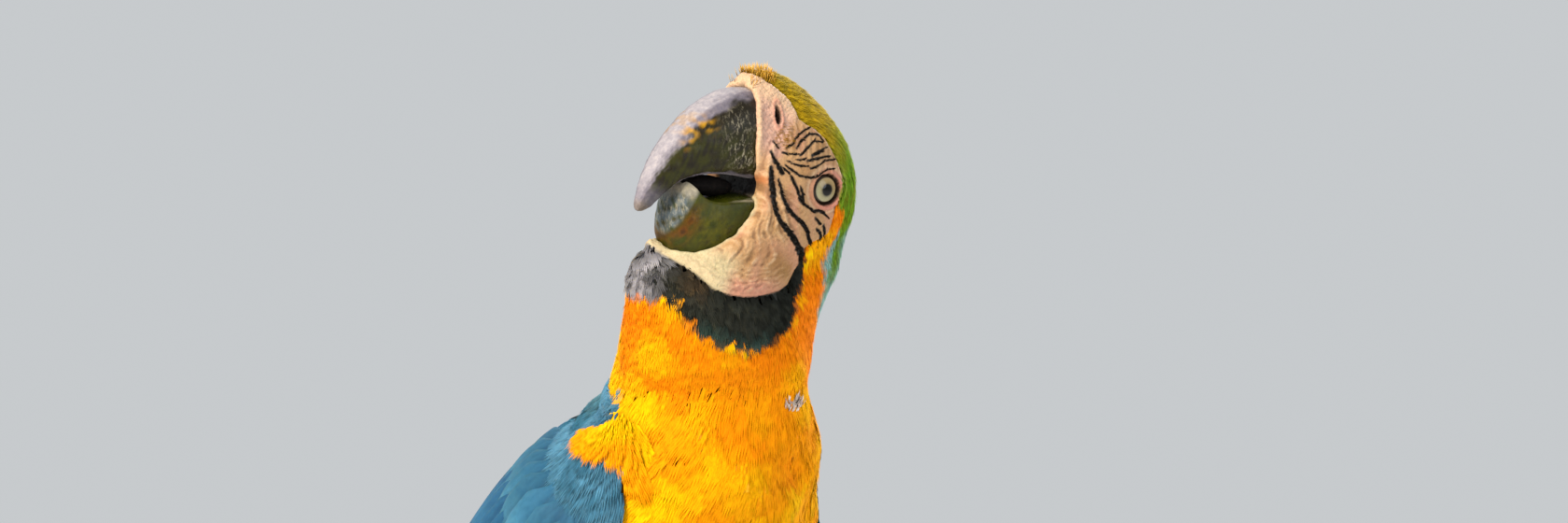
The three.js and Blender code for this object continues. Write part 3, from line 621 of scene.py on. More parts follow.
# the face's folds: their height in millimetres, and their shade from -1 in creases to 1 on ridges
def foldsOf(p):
    f, _, u = toHead(p).T
    bare, edge = bareShare(p)
    # wrinkles run from the corner of the mouth back and down over the cheek
    angle = np.degrees(np.arctan2(u - gape[1], f - gape[0]))
    reach = np.hypot(f - gape[0], u - gape[1])
    bend = angle + reach * 0.5 * ease(f, 6, 26) + 5 * ripple(p, 20, 3)
    below = ease(reach, 2, 9) * ease(u, -5, -14) * ease(edge, 1, 4) * ease(f, -2, 8)
    coarse = np.sin(np.radians(bend) * 26 + 0.8 * ripple(p, 9, 14))
    ribs = np.sin(np.radians(bend) * 47 + 1.5 * ripple(p, 12, 15))
    fan = (0.65 * coarse + 0.45 * ribs) * below * (0.75 + 0.4 * ripple(p, 13, 5))
    # and bend round above its lower edge
    low = ease(u, -30, -42) * ease(edge, 0.5, 2.5) * ease(edge, 16, 9)
    bands = np.sin(edge * 2.3 + 3.4 * ripple(p, 15, 8) + 1.6 * ripple(p, 6, 18)) * low
    shade = fan * (1 - 0.65 * low) + 0.45 * bands
    lift = 0.3 * fan * (1 - 0.6 * low) + 0.11 * bands
    lift += 1.1 * ease(edge, 0.2, 5) * ease(u, -30, -44)
    lift -= 0.4 * (1 - ease(np.abs(edge - 1.2), 0, 1.6)) * ease(u, -26, -36)
    for line, high, wide in (
        ([(25.5, -10.4), (19, -13.2), (13, -16.5)], 0.9, 1.6),
        ([(25.5, -14.2), (21.5, -19), (19.5, -27), (20, -33)], 0.8, 1.3),
        ([(23.5, -14.5), (18.6, -20), (15.5, -29)], 0.6, 1.1),
        ([(27.5, 2), (26.5, -4), (24.5, -9)], 0.5, 1.2),
    ):
        away, _ = lineDistance(f, u, line)
        ridge = np.exp(-((away / wide) ** 2))
        lift += high * ridge
        shade += 0.8 * ridge - 0.7 * np.exp(-(((away - wide * 1.6) / (wide * 0.6)) ** 2))
    # short creases between the brow's lines
    wave = np.sin((f - 0.5 * u) * 2.1 + 1.4 * ripple(p, 9, 9)) * ease(u, -2, 4) * ease(edge, 0, 2) * (f < 24)
    lift += 0.14 * wave
    shade += 0.4 * wave
    # fine lines over the flat of the cheek
    fine = np.sin((f * 0.9 + 0.5 * u) * 2.6 + 2.2 * ripple(p, 8, 27)) * ease(f, 24, 16) * ease(u, -4, -12)
    lift += 0.05 * fine * bare
    shade += 0.22 * fine
    # swollen, grainy skin round the nostril
    cere = ease(f, 22, 27) * ease(u, -4, 4)
    grains = ripple(p, 2.4, 11)
    lift += cere * (0.2 * grains + 0.25 * ripple(p, 7, 12))
    shade += 0.5 * cere * grains
    return lift, np.clip(shade, -1, 1)


def mouthShare(f, l, u):  # the skin inside the open mouth
    inside = ease(f, 19, 21) * ease(np.abs(u + 14 + 0.42 * (f - 24)), 9, 7)
    return inside * ease(np.abs(l) - 0.8 * ease(f, 24, 26), 13.6, 12)


def sculptFace(p, n):
    f, l, u = toHead(p).T
    onSide = ease(np.abs(l), 3, 6)
    bare, _ = bareShare(p)
    lift, _ = foldsOf(p)
    hole = holeOf(f, u)
    lift += 0.6 * np.exp(-(((hole - 1.45) / 0.4) ** 2))
    lift -= 3.6 * ease(hole, 1.12, 0.6)
    lift = lift * onSide * bare
    near = (bare > 0) & (f > 6)
    upper, lower = awayFromBill(p, "upper", near), awayFromBill(p, "lower", near)
    roll = np.exp(-(((upper - 1.9) / 1.25) ** 2)) * ease(u, -13, -8)
    lift += 1.0 * roll - 0.5 * ease(upper, 0.9, 0.2) * ease(u, -13, -8)
    lift += 0.55 * np.exp(-(((lower - 1.3) / 0.9) ** 2)) * ease(u, -13, -18) * bare
    lift -= 1.2 * mouthShare(f, l, u)
    return p + n * lift[:, None]


def paintSkin(p):
    f, l, u = toHead(p).T
    colour, _ = featherColour(p)
    bare, edge = bareShare(p)
    _, shade = foldsOf(p)
    skin = mixColours(plumage["skin"], plumage["pink"], 0.5 * ease(ripple(p, 15, 4), -0.2, 1))
    skin = mixColours(skin, plumage["ochre"], 0.45 * ease(ripple(p, 12, 17), 0, 1) * ease(f, 26, 18))
    skin = mixColours(skin, plumage["ochre"], 0.7 * spot(f, u, -1, -38, 7, 6) + 0.4
                      * spot(f, u, 8, -36, 6, 5))
    skin = mixColours(skin, plumage["pink"], 0.75 * ease(edge, 8, 3) * ease(u, -38, -50))
    skin = mixColours(skin, plumage["chin"], 0.8 * ease(u, -40, -50) * ease(f, 14, 21))
    cere = ease(f, 21, 26) * ease(u, -8, 3)
    skin = mixColours(skin, plumage["cere"], cere * 0.85)
    # painted highlight: the top of the cere is painted paler
    skin = mixColours(skin, plumage["pale"], cere * ease(u, 13, 20) * 0.7)
    hairs = ease(np.sin((f * 0.55 - u) * 2.3 + 2 * ripple(p, 6, 19)), 0.1, 0.9)
    skin = mixColours(skin, plumage["ochre"], hairs
                      * (spot(f, u, 25, 6.5, 4, 3.5) + spot(f, u, 22, 13, 3, 3)) * 0.75)
    for side in (1, -1):
        away = p - eyeCentres[side]
        height = away @ eyeAxes[side]
        out = np.linalg.norm(away - height[:, None] * eyeAxes[side], axis=1) + 30 * (height < 0)
        lids = ease(out, 10.5, 7.2) * (0.5 + 0.5 * ease(-(away @ headAxes[0]), -4, 4))
        skin = mixColours(skin, hexColour("#b9786a"), lids * 0.8)
        skin = mixColours(skin, hexColour("#2c1c12"), ease(out, 6.75, 6.2))
        # painted highlight: a pale line along the crest of the lids' outer roll
        skin = mixColours(skin, plumage["pale"], 0.6 * np.exp(-(((out - 9.1) / 0.7) ** 2)) * (height > 0))
    # painted shade in the creases of the face's folds, and painted highlight on their ridges
    skin = mixColours(skin, plumage["crease"], 0.55 * ease(-shade, 0.1, 0.95))
    skin = mixColours(skin, plumage["pale"], 0.5 * ease(shade, 0.15, 0.95))
    corner = spot(f, u, gape[0] + 0.4, gape[1] + 0.4, 3.4, 1.5)
    skin = mixColours(skin, plumage["gape"], corner * 0.8)
    near = (bare > 0) & (f > 6)
    upper, lower = awayFromBill(p, "upper", near), awayFromBill(p, "lower", near)
    skin = mixColours(skin, plumage["pale"], 0.7 * np.exp(-(((upper - 1.7) / 1.0) ** 2)) * ease(u, -12, -7))
    skin = mixColours(skin, plumage["chin"], 0.75 * np.exp(-(((lower - 1.2) / 1.0) ** 2)) * ease(u, -13, -18))
    skin = mixColours(skin, hexColour("#3a2a20"), 0.8 * ease(np.minimum(upper, lower), 0.75, 0.35))
    skin = mixColours(skin, plumage["mouth"], mouthShare(f, l, u))
    hole = holeOf(f, u)
    skin = mixColours(skin, plumage["pink"], 0.7 * np.exp(-(((hole - 1.5) / 0.35) ** 2)) * (np.abs(l) > 5))
    skin = mixColours(skin, plumage["nostril"], ease(hole, 1.2, 0.75) * (np.abs(l) > 5))
    colour = mixColours(colour, skin, bare)
    return mixColours(colour, plumage["line"], inkOf(p, f, l, u) * ease(p[:, 2], 640, 644)), bare


def makeSkin():
    parts = ["head", "neck", "torso", "leg_left", "leg_right", "eye_left", "eye_right"]
    obj = copyOf("skin", *parts)
    # touching solids keep a small gap, so each grows by a little before they fuse
    grown = pointsOf(obj.data)
    setPoints(obj.data, grown + normalsOf(obj.data) * 0.3)
    remeshed(obj, skinSetting["voxel"], skinSetting["smooth"])
    bm = bmesh.new()
    bm.from_mesh(obj.data)
    for step in range(skinSetting["faceCuts"]):
        points = np.array([v.co for v in bm.verts]) / mm
        f, l, u = toHead(points).T
        _, depth = bareShare(points)
        onFace = (depth > -3 + step) & (points[:, 2] > 622) & (np.abs(l) > 2)
        edges = [e for e in bm.edges if onFace[e.verts[0].index] and onFace[e.verts[1].index]]
        bmesh.ops.subdivide_edges(bm, edges=edges, cuts=1, use_grid_fill=True, smooth=0.6)
        bm.verts.index_update()
    bmesh.ops.triangulate(bm, faces=[face for face in bm.faces if len(face.verts) > 4])
    bm.to_mesh(obj.data)
    bm.free()
    points = pointsOf(obj.data)
    bare, _ = bareShare(points)
    points = points - normalsOf(obj.data) * coatDepth(points, bare)[:, None]
    setPoints(obj.data, points)
    bm = bmesh.new()
    bm.from_mesh(obj.data)
    soft = [v for v, share in zip(bm.verts, bare) if share < 0.5]
    for _ in range(4):
        bmesh.ops.smooth_vert(bm, verts=soft, factor=0.5, use_axis_x=True, use_axis_y=True, use_axis_z=True)
    bm.to_mesh(obj.data)
    bm.free()
    points = sculptLids(pointsOf(obj.data))
    setPoints(obj.data, points)
    colour, bare = paintSkin(points)
    points = sculptFace(points, normalsOf(obj.data))
    setPoints(obj.data, points)
    obj.data.shade_smooth()
    setColours(obj.data, "marking", colour)
    setValues(obj.data, "bare", bare)
    place(obj, instead=("head", "neck", "torso", "leg_left", "leg_right"))
    return obj


def bareSkin():  # dry, thin bird skin: matt and grainy, with a faint glow of blood through it
    made, tree, out = material("bird skin, bare and dry")
    coords = node(tree, "TexCoord").outputs["Object"]
    paint = node(tree, "Attribute", attribute_name="marking").outputs["Color"]
    grain = node(tree, "TexNoise", {"Vector": coords, "Scale": perMetre(1.1), "Detail": 3.0})
    creased = node(tree, "TexNoise", {"Vector": coords, "Scale": perMetre(3.2), "Detail": 4.0,
                                      "Distortion": 1.8})
    blotch = node(tree, "TexNoise", {"Vector": coords, "Scale": perMetre(6), "Detail": 2.0})
    tone = node(tree, "Mix", {0: 0.3, 6: paint, 7: grain.outputs["Fac"]}, data_type="RGBA",
                blend_type="OVERLAY")
    rough = node(tree, "MapRange", {"Value": blotch.outputs["Fac"], "To Min": 0.42, "To Max": 0.66})
    pores = node(tree, "TexVoronoi", {"Vector": coords, "Scale": perMetre(1.3)}, feature="DISTANCE_TO_EDGE")
    rucks = node(tree, "Math", {0: creased.outputs["Fac"], 1: 2.0}, operation="MULTIPLY")
    relief = node(tree, "Math", {0: grain.outputs["Fac"], 1: pores.outputs["Distance"]}, operation="ADD")
    height = node(tree, "Math", {0: relief.outputs[0], 1: rucks.outputs[0]}, operation="ADD")
    bump = node(tree, "Bump", {"Height": height.outputs[0], "Strength": 0.45, "Distance": 0.0005})
    shader = node(tree, "BsdfPrincipled", {
        "Base Color": tone.outputs[2],
        "Roughness": rough.outputs[0],
        "Normal": bump.outputs[0],
        "Subsurface Weight": 0.1,
        "Subsurface Radius": (0.0012, 0.0005, 0.0003),
        "Subsurface Scale": 1.0,
        "Specular IOR Level": 0.25,
    })
    tree.links.new(shader.outputs[0], out.inputs["Surface"])
    return made


skin = makeSkin()
skin.data.materials.clear()
skin.data.materials.append(bareSkin())
print("skin made:", len(skin.data.polygons), "faces")

# the coat: every tuft is a small closed template laid along the skin
skinPoints = pointsOf(skin.data)
skinFaces = [tuple(face.vertices) for face in skin.data.polygons]
skinTree = BVHTree.FromPolygons([tuple(p) for p in skinPoints], skinFaces)
mostTriangles = 190000  # in one piece


def flowAt(p, n):  # the lie of the coat at points of the skin
    f, _, u = toHead(p).T
    back = np.stack([-1.0 + 0 * f, 0 * f, -1.3 * ease(f, 22, -26)], 1) @ headAxes
    down = np.array([-0.14, 0.42, -0.9])
    spine = np.array([-0.66, 0, -0.75]) @ bodyAxes
    share = ease(p[:, 2], 560, 640)[:, None]
    body = spine * (1 - share) + down * share
    chin = np.stack([-0.75 + 0 * f, 0 * f, -0.75 + 0 * f], 1) @ headAxes
    high = ease(u, -52, -14)[:, None] * (p[:, 2] > 640)[:, None]
    under = (ease(u, -84, -68) * ease(p[:, 2], 625, 645))[:, None]
    lower = body * (1 - under) + chin * under
    flow = back * high + lower * (1 - high)
    flow = flow - (flow * n).sum(1)[:, None] * n
    return unit(flow)


def scatter(spacing, keep):  # about one root in each square of the given spacing, on the skin where keep says
    mesh = skin.data
    mesh.calc_loop_triangles()
    flat = np.empty(len(mesh.loop_triangles) * 3, np.int32)
    mesh.loop_triangles.foreach_get("vertices", flat)
    corners = flat.reshape(-1, 3)
    a, b, c = (skinPoints[corners[:, k]] for k in range(3))
    corners = corners[keep((a + b + c) / 3)]
    a, b, c = (skinPoints[corners[:, k]] for k in range(3))
    area = np.linalg.norm(np.cross(b - a, c - a), axis=1) / 2
    count = int(area.sum() / spacing**2 * 3.2)
    pick = draw.choice(len(area), count, p=area / area.sum())
    s, t = draw.random(count), draw.random(count)
    over = s + t > 1
    s[over], t[over] = 1 - s[over], 1 - t[over]
    p = a[pick] + (b - a)[pick] * s[:, None] + (c - a)[pick] * t[:, None]
    cell = np.floor(p / (spacing * 0.98)).astype(np.int64)
    key = (cell[:, 0] * 73856093) ^ (cell[:, 1] * 19349663) ^ (cell[:, 2] * 83492791)
    _, first = np.unique(key, return_index=True)
    return p[first]


def walk(p, length, stations, sway, tree=skinTree, flow=flowAt):  # follows the skin from each root
    places, normals = [], []
    at = p.copy()
    heading = None
    for k, s in enumerate(stations):
        if k:
            at = at + heading * (length * (s - stations[k - 1]))[:, None]
        found = [tree.find_nearest(q) for q in at]
        at = np.array([tuple(hit[0]) for hit in found])
        n = np.array([tuple(hit[1]) for hit in found])
        along = flow(at, n)
        heading = unit(along + np.cross(n, along) * sway[:, None])
        places.append(at.copy())
        normals.append(n)
    return np.stack(places, 1), np.stack(normals, 1)


# templates: x runs along from the root (0) to the tip (1), y across, z up; all closed, with a tone for
# each point
def barb(bm, tones, tone, start, end, bow, half, length, lift):
    # a flat three-sided sliver with a root, a middle ring and a point
    made = bmesh.ops.create_cone(bm, cap_ends=True, segments=3, radius1=1, radius2=1, depth=1)["verts"]
    for v in made:
        v[tones] = tone
    root = [v for v in made if v.co.z < 0]
    bmesh.ops.pointmerge(bm, verts=[v for v in made if v.co.z > 0], merge_co=(length, end, lift))
    for v in root:
        v.co = (0.0, start + v.co.x * half * 0.7, v.co.y * 0.5)
    rising = [e for e in set(e for v in root for e in v.link_edges) if sum(v in root for v in e.verts) == 1]
    cut = bmesh.ops.subdivide_edges(bm, edges=rising, cuts=1)
    for v in cut["geom_inner"]:
        if isinstance(v, bmesh.types.BMVert):
            spread = v.co.y - (start + end) / 2
            v.co = (length * 0.55, (start + end) / 2 + bow + spread * 2.1, v.co.z * 1.4 + lift * 0.3)


def templateOf(bm):
    bmesh.ops.triangulate(bm, faces=bm.faces)
    bmesh.ops.recalc_face_normals(bm, faces=bm.faces)
    bm.verts.index_update()
    points = np.array([tuple(v.co) for v in bm.verts])
    corners = np.array([[v.index for v in face.verts] for face in bm.faces])
    layer = bm.verts.layers.float.get("tone")
    tones = np.array([v[layer] for v in bm.verts]) if layer else np.zeros(len(points))
    bm.free()
    return points, corners, tones


def plume(barbs, seed, ragged=0.3, spread=1.0, fill=1.7, rough=0.35):  # slivers that fan from one root
    pick = np.random.default_rng(seed)
    bm = bmesh.new()
    tones = bm.verts.layers.float.new("tone")
    for k in range(barbs):
        side = (2 * (k + 0.5) / barbs - 1) * spread
        length = 1 - ragged * abs(side) ** 1.5 - 0.2 * pick.random()
        barb(bm, tones, pick.normal(0, 0.035), side * 0.35, side * (0.85 + 0.25 * pick.random()), side * 0.2,
             fill / barbs, length, rough * pick.random())
    return templateOf(bm)


# one closed leaf with a rounded, frayed tip
def vane(along, across, notch=0.0, seed=1, power=2.4, blunt=0.14):
    pick = np.random.default_rng(seed)
    bm = bmesh.new()
    tones = bm.verts.layers.float.new("tone")
    bmesh.ops.create_grid(bm, x_segments=along, y_segments=across, size=0.5)
    made = bmesh.ops.extrude_face_region(bm, geom=list(bm.faces))
    for item in made["geom"]:
        if isinstance(item, bmesh.types.BMVert):
            item.co.z = -1
    fray = pick.random(across + 1) * notch
    streak = pick.normal(0, 0.05, across + 1)
    for v in bm.verts:
        s, w = v.co.x + 0.5, v.co.y * 2
        row = int(round((w + 1) / 2 * across))
        end = 1 - blunt * abs(w) ** power - fray[row]
        width = (0.42 + 0.58 * float(ease(s, 0, 0.35))) * (1 - max(0, s - 0.6) ** 2 * 2.4)
        top = 1.0 - 0.75 * w * w if v.co.z > -0.5 else -0.1
        v[tones] = streak[row]
        v.co = (s * end, w * width, top - 0.35 * w * w)
    return templateOf(bm)


def sew(lines, outward, half, thick, templates, paint, spots, tilt=0.0):
    # one template along each centre line; returns points, corners, colours, patches and outward normals
    count, steps = lines.shape[:2]
    stations = np.linspace(0, 1, steps)
    along = unit(np.gradient(lines, axis=1))
    sides = unit(np.cross(outward, along))
    ups = unit(np.cross(along, sides))
    kinds = draw.integers(0, len(templates), count)
    found, total = [], 0
    for kind, (shape, corners, tones) in enumerate(templates):
        s = np.clip(shape[:, 0], 0, 1)
        span = np.interp(s, stations, np.arange(steps))
        low = np.minimum(span.astype(int), steps - 2)
        weights = np.zeros((len(s), steps))
        weights[np.arange(len(s)), low] = 1 - (span - low)
        weights[np.arange(len(s)), low + 1] = span - low
        chosen = np.nonzero(kinds == kind)[0]
        for begin in range(0, len(chosen), 3000):
            part = chosen[begin : begin + 3000]
            c, b, n = (np.einsum("vs,nsk->nvk", weights, field[part]) for field in (lines, sides, ups))
            w = shape[:, 1][None] * half[part][:, None]
            h = shape[:, 2][None] * thick[part][:, None] - tilt * w
            points = c + b * w[..., None] + n * h[..., None]
            colour = paint(part, s, shape, points) * (1 + tones)[None, :, None]
            patch = np.stack([s - 0.5, np.clip(shape[:, 1], -1, 1) * 0.5], 1) * 0.003
            spot = spots[part][:, None] + patch[None]
            faces = corners[None] + (np.arange(len(part)) * len(shape))[:, None, None] + total
            found.append([field.reshape(-1, field.shape[-1]) for field in (points, faces, colour, spot, n)])
            total += len(part) * len(shape)
    return [np.concatenate(fields) for fields in zip(*found)]


def joinSets(name, sets, finish, instead=(), softness=0.6):  # pieces of at most mostTriangles
    total, moved = 0, []
    for points, faces, *_ in sets:
        moved.append(faces + total)
        total += len(points)
    faces = np.concatenate(moved)
    points, _, colours, spots, outward = (np.concatenate(fields) for fields in zip(*sets))
    parts = math.ceil(len(faces) / mostTriangles)
    bounds = np.linspace(0, len(faces), parts + 1).astype(int)
    for k in range(parts):
        chosen = faces[bounds[k] : bounds[k + 1]]
        used, again = np.unique(chosen, return_inverse=True)
        again = again.reshape(-1, 3)
        mesh = meshOf(f"{name}_{k + 1}" if parts > 1 else name, points[used], again)
        setColours(mesh, "marking", colours[used])
        layer = mesh.uv_layers.new(name="OFBake")
        layer.data.foreach_set("uv", spots[used][again.ravel()].astype(np.float32).ravel())
        # fine barbs are lit as the soft surface that they make together
        own = normalsOf(mesh)
        lean = np.where((own * outward[used]).sum(1) > -0.93, softness, 0.0)[:, None]
        mesh.normals_split_custom_set_from_vertices(unit(own * (1 - lean) + outward[used] * lean).tolist())
        mesh.materials.append(finish)
        place(bpy.data.objects.new(mesh.name, mesh), instead=instead if k == 0 else ())
    print(name, len(faces), "triangles")


def unwrapBody(p):  # round the body and up it
    turnShare = (around(p) + 180) / 360
    return np.stack([0.02 + 0.96 * turnShare, 0.02 + 0.96 * np.clip((p[:, 2] - 420) / 300, 0, 1)], 1)


def unwrapHead(p):  # round the line from the bill to the nape, and along it
    f, l, u = toHead(p).T
    turnShare = (np.arctan2(l, u + 12) / math.pi + 1) / 2
    return np.stack([0.02 + 0.96 * turnShare, 0.02 + 0.96 * np.clip((f + 40) / 90, 0, 1)], 1)


# feather barbs: matt, with a faint sheen, a little light coming through
def keratin(name, roughness, specular):
    made, tree, out = material(name)
    coords = node(tree, "TexCoord").outputs["Object"]
    paint = node(tree, "Attribute", attribute_name="marking").outputs["Color"]
    grain = node(tree, "TexNoise", {"Vector": coords, "Scale": perMetre(1.5), "Detail": 2.0})
    tone = node(tree, "Mix", {0: 0.15, 6: paint, 7: grain.outputs["Fac"]}, data_type="RGBA",
                blend_type="OVERLAY")
    bump = node(tree, "Bump", {"Height": grain.outputs["Fac"], "Strength": 0.12, "Distance": 0.0003})
    shader = node(tree, "BsdfPrincipled", {
        "Base Color": tone.outputs[2],
        "Roughness": roughness,
        "Normal": bump.outputs[0],
        "Specular IOR Level": specular,
        "Subsurface Weight": 0.2,
        "Subsurface Radius": (0.003, 0.0016, 0.0006),
        "Subsurface Scale": 1.0,
    })
    tree.links.new(shader.outputs[0], out.inputs["Surface"])
    return made


softFeather = keratin("soft contour feathers", 0.8, 0.06)
firmFeather = keratin("firm vaned feathers", 0.6, 0.12)


def paintFrom(base, dark, light, spread):
    varied = 1 + draw.normal(0, spread, (len(base), 1))

    def paint(part, s, shape, points):
        colour = base[part][:, None, :] * varied[part][:, None, :]
        # painted shade: each tuft is darker toward its root, where the tufts over it would shade it, and
        # lighter toward its tip
        level = dark + (light - dark) * ease(s, 0.0, 0.85)
        return np.clip(colour * level[None, :, None], 0, 1)

    return paint


def zone(test):
    def keep(p):
        bare, _ = bareShare(p)
        return (bare < 0.4) & test(p, *toHead(p).T)

    return keep


# spacing, length, half-width, thickness and rise of the tips in millimetres; shades of root and tip, the
# darker root being painted shade
coats = {
    "crown_feathers": {
        "where": zone(lambda p, f, l, u: (p[:, 2] > 655) & (u > -52) & (f < 37)),
        "spacing": 1.12, "length": 6.6, "half": 0.95, "thick": 0.24, "rise": 1.3, "barbs": 3,
        "unwrap": unwrapHead,
        "shades": (0.6, 1.25, 0.14), "sway": 0.14, "softness": 0.6,
    },
    "neck_feathers": {
        "where": zone(lambda p, f, l, u: ((p[:, 2] <= 655) | (u <= -52)) & (p[:, 2] > 612)),
        "spacing": 1.75, "length": 11, "half": 2.1, "thick": 0.16, "rise": 1.1, "barbs": 4,
        "unwrap": unwrapBody,
        "shades": (0.86, 1.08, 0.05), "sway": 0.12, "softness": 0.85,
    },
    "breast_feathers": {
        "where": zone(lambda p, f, l, u: (p[:, 2] <= 612) & (p[:, 2] > 530) & (np.abs(around(p)) < 118)),
        "spacing": 2.5, "length": 19, "half": 3.6, "thick": 0.12, "rise": 1.0, "barbs": 7,
        "unwrap": unwrapBody,
        "shades": (0.93, 1.04, 0.03), "sway": 0.12, "softness": 0.93,
    },
    "body_feathers": {
        "where": zone(lambda p, f, l, u: (p[:, 2] <= 612) & ((p[:, 2] <= 530) | (np.abs(around(p)) >= 118))),
        "spacing": 3.5, "length": 22, "half": 4.6, "thick": 0.18, "rise": 1.5, "barbs": 7,
        "unwrap": unwrapBody,
        "shades": (0.88, 1.05, 0.05), "sway": 0.14, "softness": 0.9,
    },
}


def layCoat(name, coat, templates=None):
    roots = coat["roots"] if "roots" in coat else scatter(coat["spacing"], coat["where"])
    count = len(roots)
    length = coat["length"] * (1 + draw.normal(0, 0.14, count))
    stations = np.array([0, 0.34, 0.68, 1.0])
    places, normals = walk(roots, length, stations, draw.normal(0, coat["sway"], count))
    # a tuft that would fold back on itself in a crease is left out
    runs = unit(np.diff(places, axis=1))
    straight = (runs[:, :-1] * runs[:, 1:]).sum(-1).min(1) > 0.6
    straight &= (normals[:, :-1] * normals[:, 1:]).sum(-1).min(1) > 0.6
    roots, places, normals, count = roots[straight], places[straight], normals[straight], int(straight.sum())
    tip = coat["rise"] * (1 + draw.normal(0, 0.22, count))
    lines = places + normals * (-0.3 + tip[:, None] * stations[None] ** 0.8)[..., None]
    templates = templates or [plume(coat["barbs"], k + 3) for k in range(5)]
    base = featherColour(places[:, 2])[0]
    half = coat["half"] * (1 + draw.normal(0, 0.12, count))
    made = sew(lines, normals, half, np.full(count, coat["thick"]), templates,
               paintFrom(base, *coat["shades"]),
               coat["unwrap"](roots))
    print(name, "has", count, "tufts")
    return made


for name, coat in coats.items():
    joinSets(name, [layCoat(name, coat)], softFeather, softness=coat["softness"])

# rounded feathers over the bib
inBib = zone(lambda p, f, l, u: (p[:, 2] > 600) & (p[:, 2] < 690) & (featherColour(p - (0, 0, 6))[1] > 0.5))
# the bib's tufts run from deep painted shade at the root to light tips, partly the feathers' paler edges and
# partly a painted highlight
bib = {"where": inBib, "spacing": 2.2, "length": 9.5, "half": 2.9, "thick": 0.3, "rise": 1.9,
       "unwrap": unwrapBody,
       "shades": (0.5, 1.9, 0.2), "sway": 0.3}
joinSets("bib_feathers", [layCoat("bib_feathers", bib, [plume(8, k + 30, 0.5) for k in range(5)])],
         softFeather, softness=0.75)


def layDown():  # white down where the feathers part over the left shoulder
    middle = Vector(fluff["place"])
    aims = [middle + Vector(draw.normal(0, 1, 3) * fluff["spread"]) for _ in range(fluff["count"])]
    found = [skinTree.find_nearest(aim) for aim in aims]
    at = np.array([tuple(hit[0]) for hit in found])
    n = np.array([tuple(hit[1]) for hit in found])
    run = unit(flowAt(at, n) * -0.4 + np.array(fluff["lean"]) + draw.normal(0, 0.3, at.shape))
    steps = np.array([0, 0.5, 1.0])
    length = draw.uniform(3.5, 7.5, len(at))
    lines = at[:, None] + run[:, None] * (length[:, None] * steps)[..., None]
    lines = lines + n[:, None] * np.array([0.2, 1.8, 2.6])[None, :, None]
    base = mixColours(plumage["white"], hexColour("#b98c78"), draw.random(len(at)) * 0.7)
    joinSets("down_feathers",
             [sew(lines, np.repeat(n[:, None], 3, 1), np.full(len(at), 1.2), np.full(len(at), 0.12),
             [plume(6, k + 70, 0.5) for k in range(3)], paintFrom(base, 0.7, 1.2, 0.1), unwrapBody(at))],
             softFeather)


layDown()


def layFaceLines():  # tiny black feathers along the face's lines
    roots, headings = [], []
    for line in faceLines:
        for (f0, u0, w0), (f1, u1, w1) in zip(line[:-1], line[1:]):
            reach = math.hypot(f1 - f0, u1 - u0)
            for step in range(max(1, int(reach / 0.55))):
                t = (step + draw.random()) / max(1, int(reach / 0.55))
                wide = mix(w0, w1, t)
                for _ in range(max(1, int(wide / 0.55))):
                    off = draw.uniform(-0.5, 0.5) * (wide - 0.3)
                    nx, ny = -(u1 - u0) / reach, (f1 - f0) / reach
                    roots.append((mix(f0, f1, t) + nx * off, mix(u0, u1, t) + ny * off))
                    headings.append(((f1 - f0) / reach, (u1 - u0) / reach))
    roots, headings = np.array(roots), np.array(headings)
    sets = []
    for side in (1, -1):
        start = fromHead(np.stack([roots[:, 0], np.full(len(roots), side * 40.0), roots[:, 1]], 1))
        inward = Vector(-side * headAxes[1])
        hits = [skinTree.ray_cast(Vector(p), inward) for p in start]
        good = [k for k, hit in enumerate(hits) if hit[0] is not None and hit[3] < 40]
        at = np.array([tuple(hits[k][0]) for k in good])
        n = np.array([tuple(hits[k][1]) for k in good])
        run = headings[good][:, :1] * headAxes[0] + headings[good][:, 1:] * headAxes[2]
        run = unit(run + draw.normal(0, 0.18, run.shape) - (run * n).sum(1)[:, None] * n)
        length = draw.uniform(1.2, 2.2, len(at))
        steps = np.array([0, 0.5, 1.0])
        lines = at[:, None] + run[:, None] * (length[:, None] * steps)[..., None]
        lines = lines + n[:, None] * np.array([-0.1, 0.22, 0.3])[None, :, None]
        base = np.repeat(plumage["line"][None], len(at), 0)
        sets.append(sew(lines, np.repeat(n[:, None], 3, 1), np.full(len(at), 0.3), np.full(len(at), 0.14),
                        [plume(2, k + 40, 0.2) for k in range(3)], paintFrom(base, 0.8, 1.5, 0.2),
                        unwrapHead(at)))
    joinSets("face_lines", sets, softFeather, softness=0.3)


layFaceLines()

bristle = {"colour": "#b98428"}


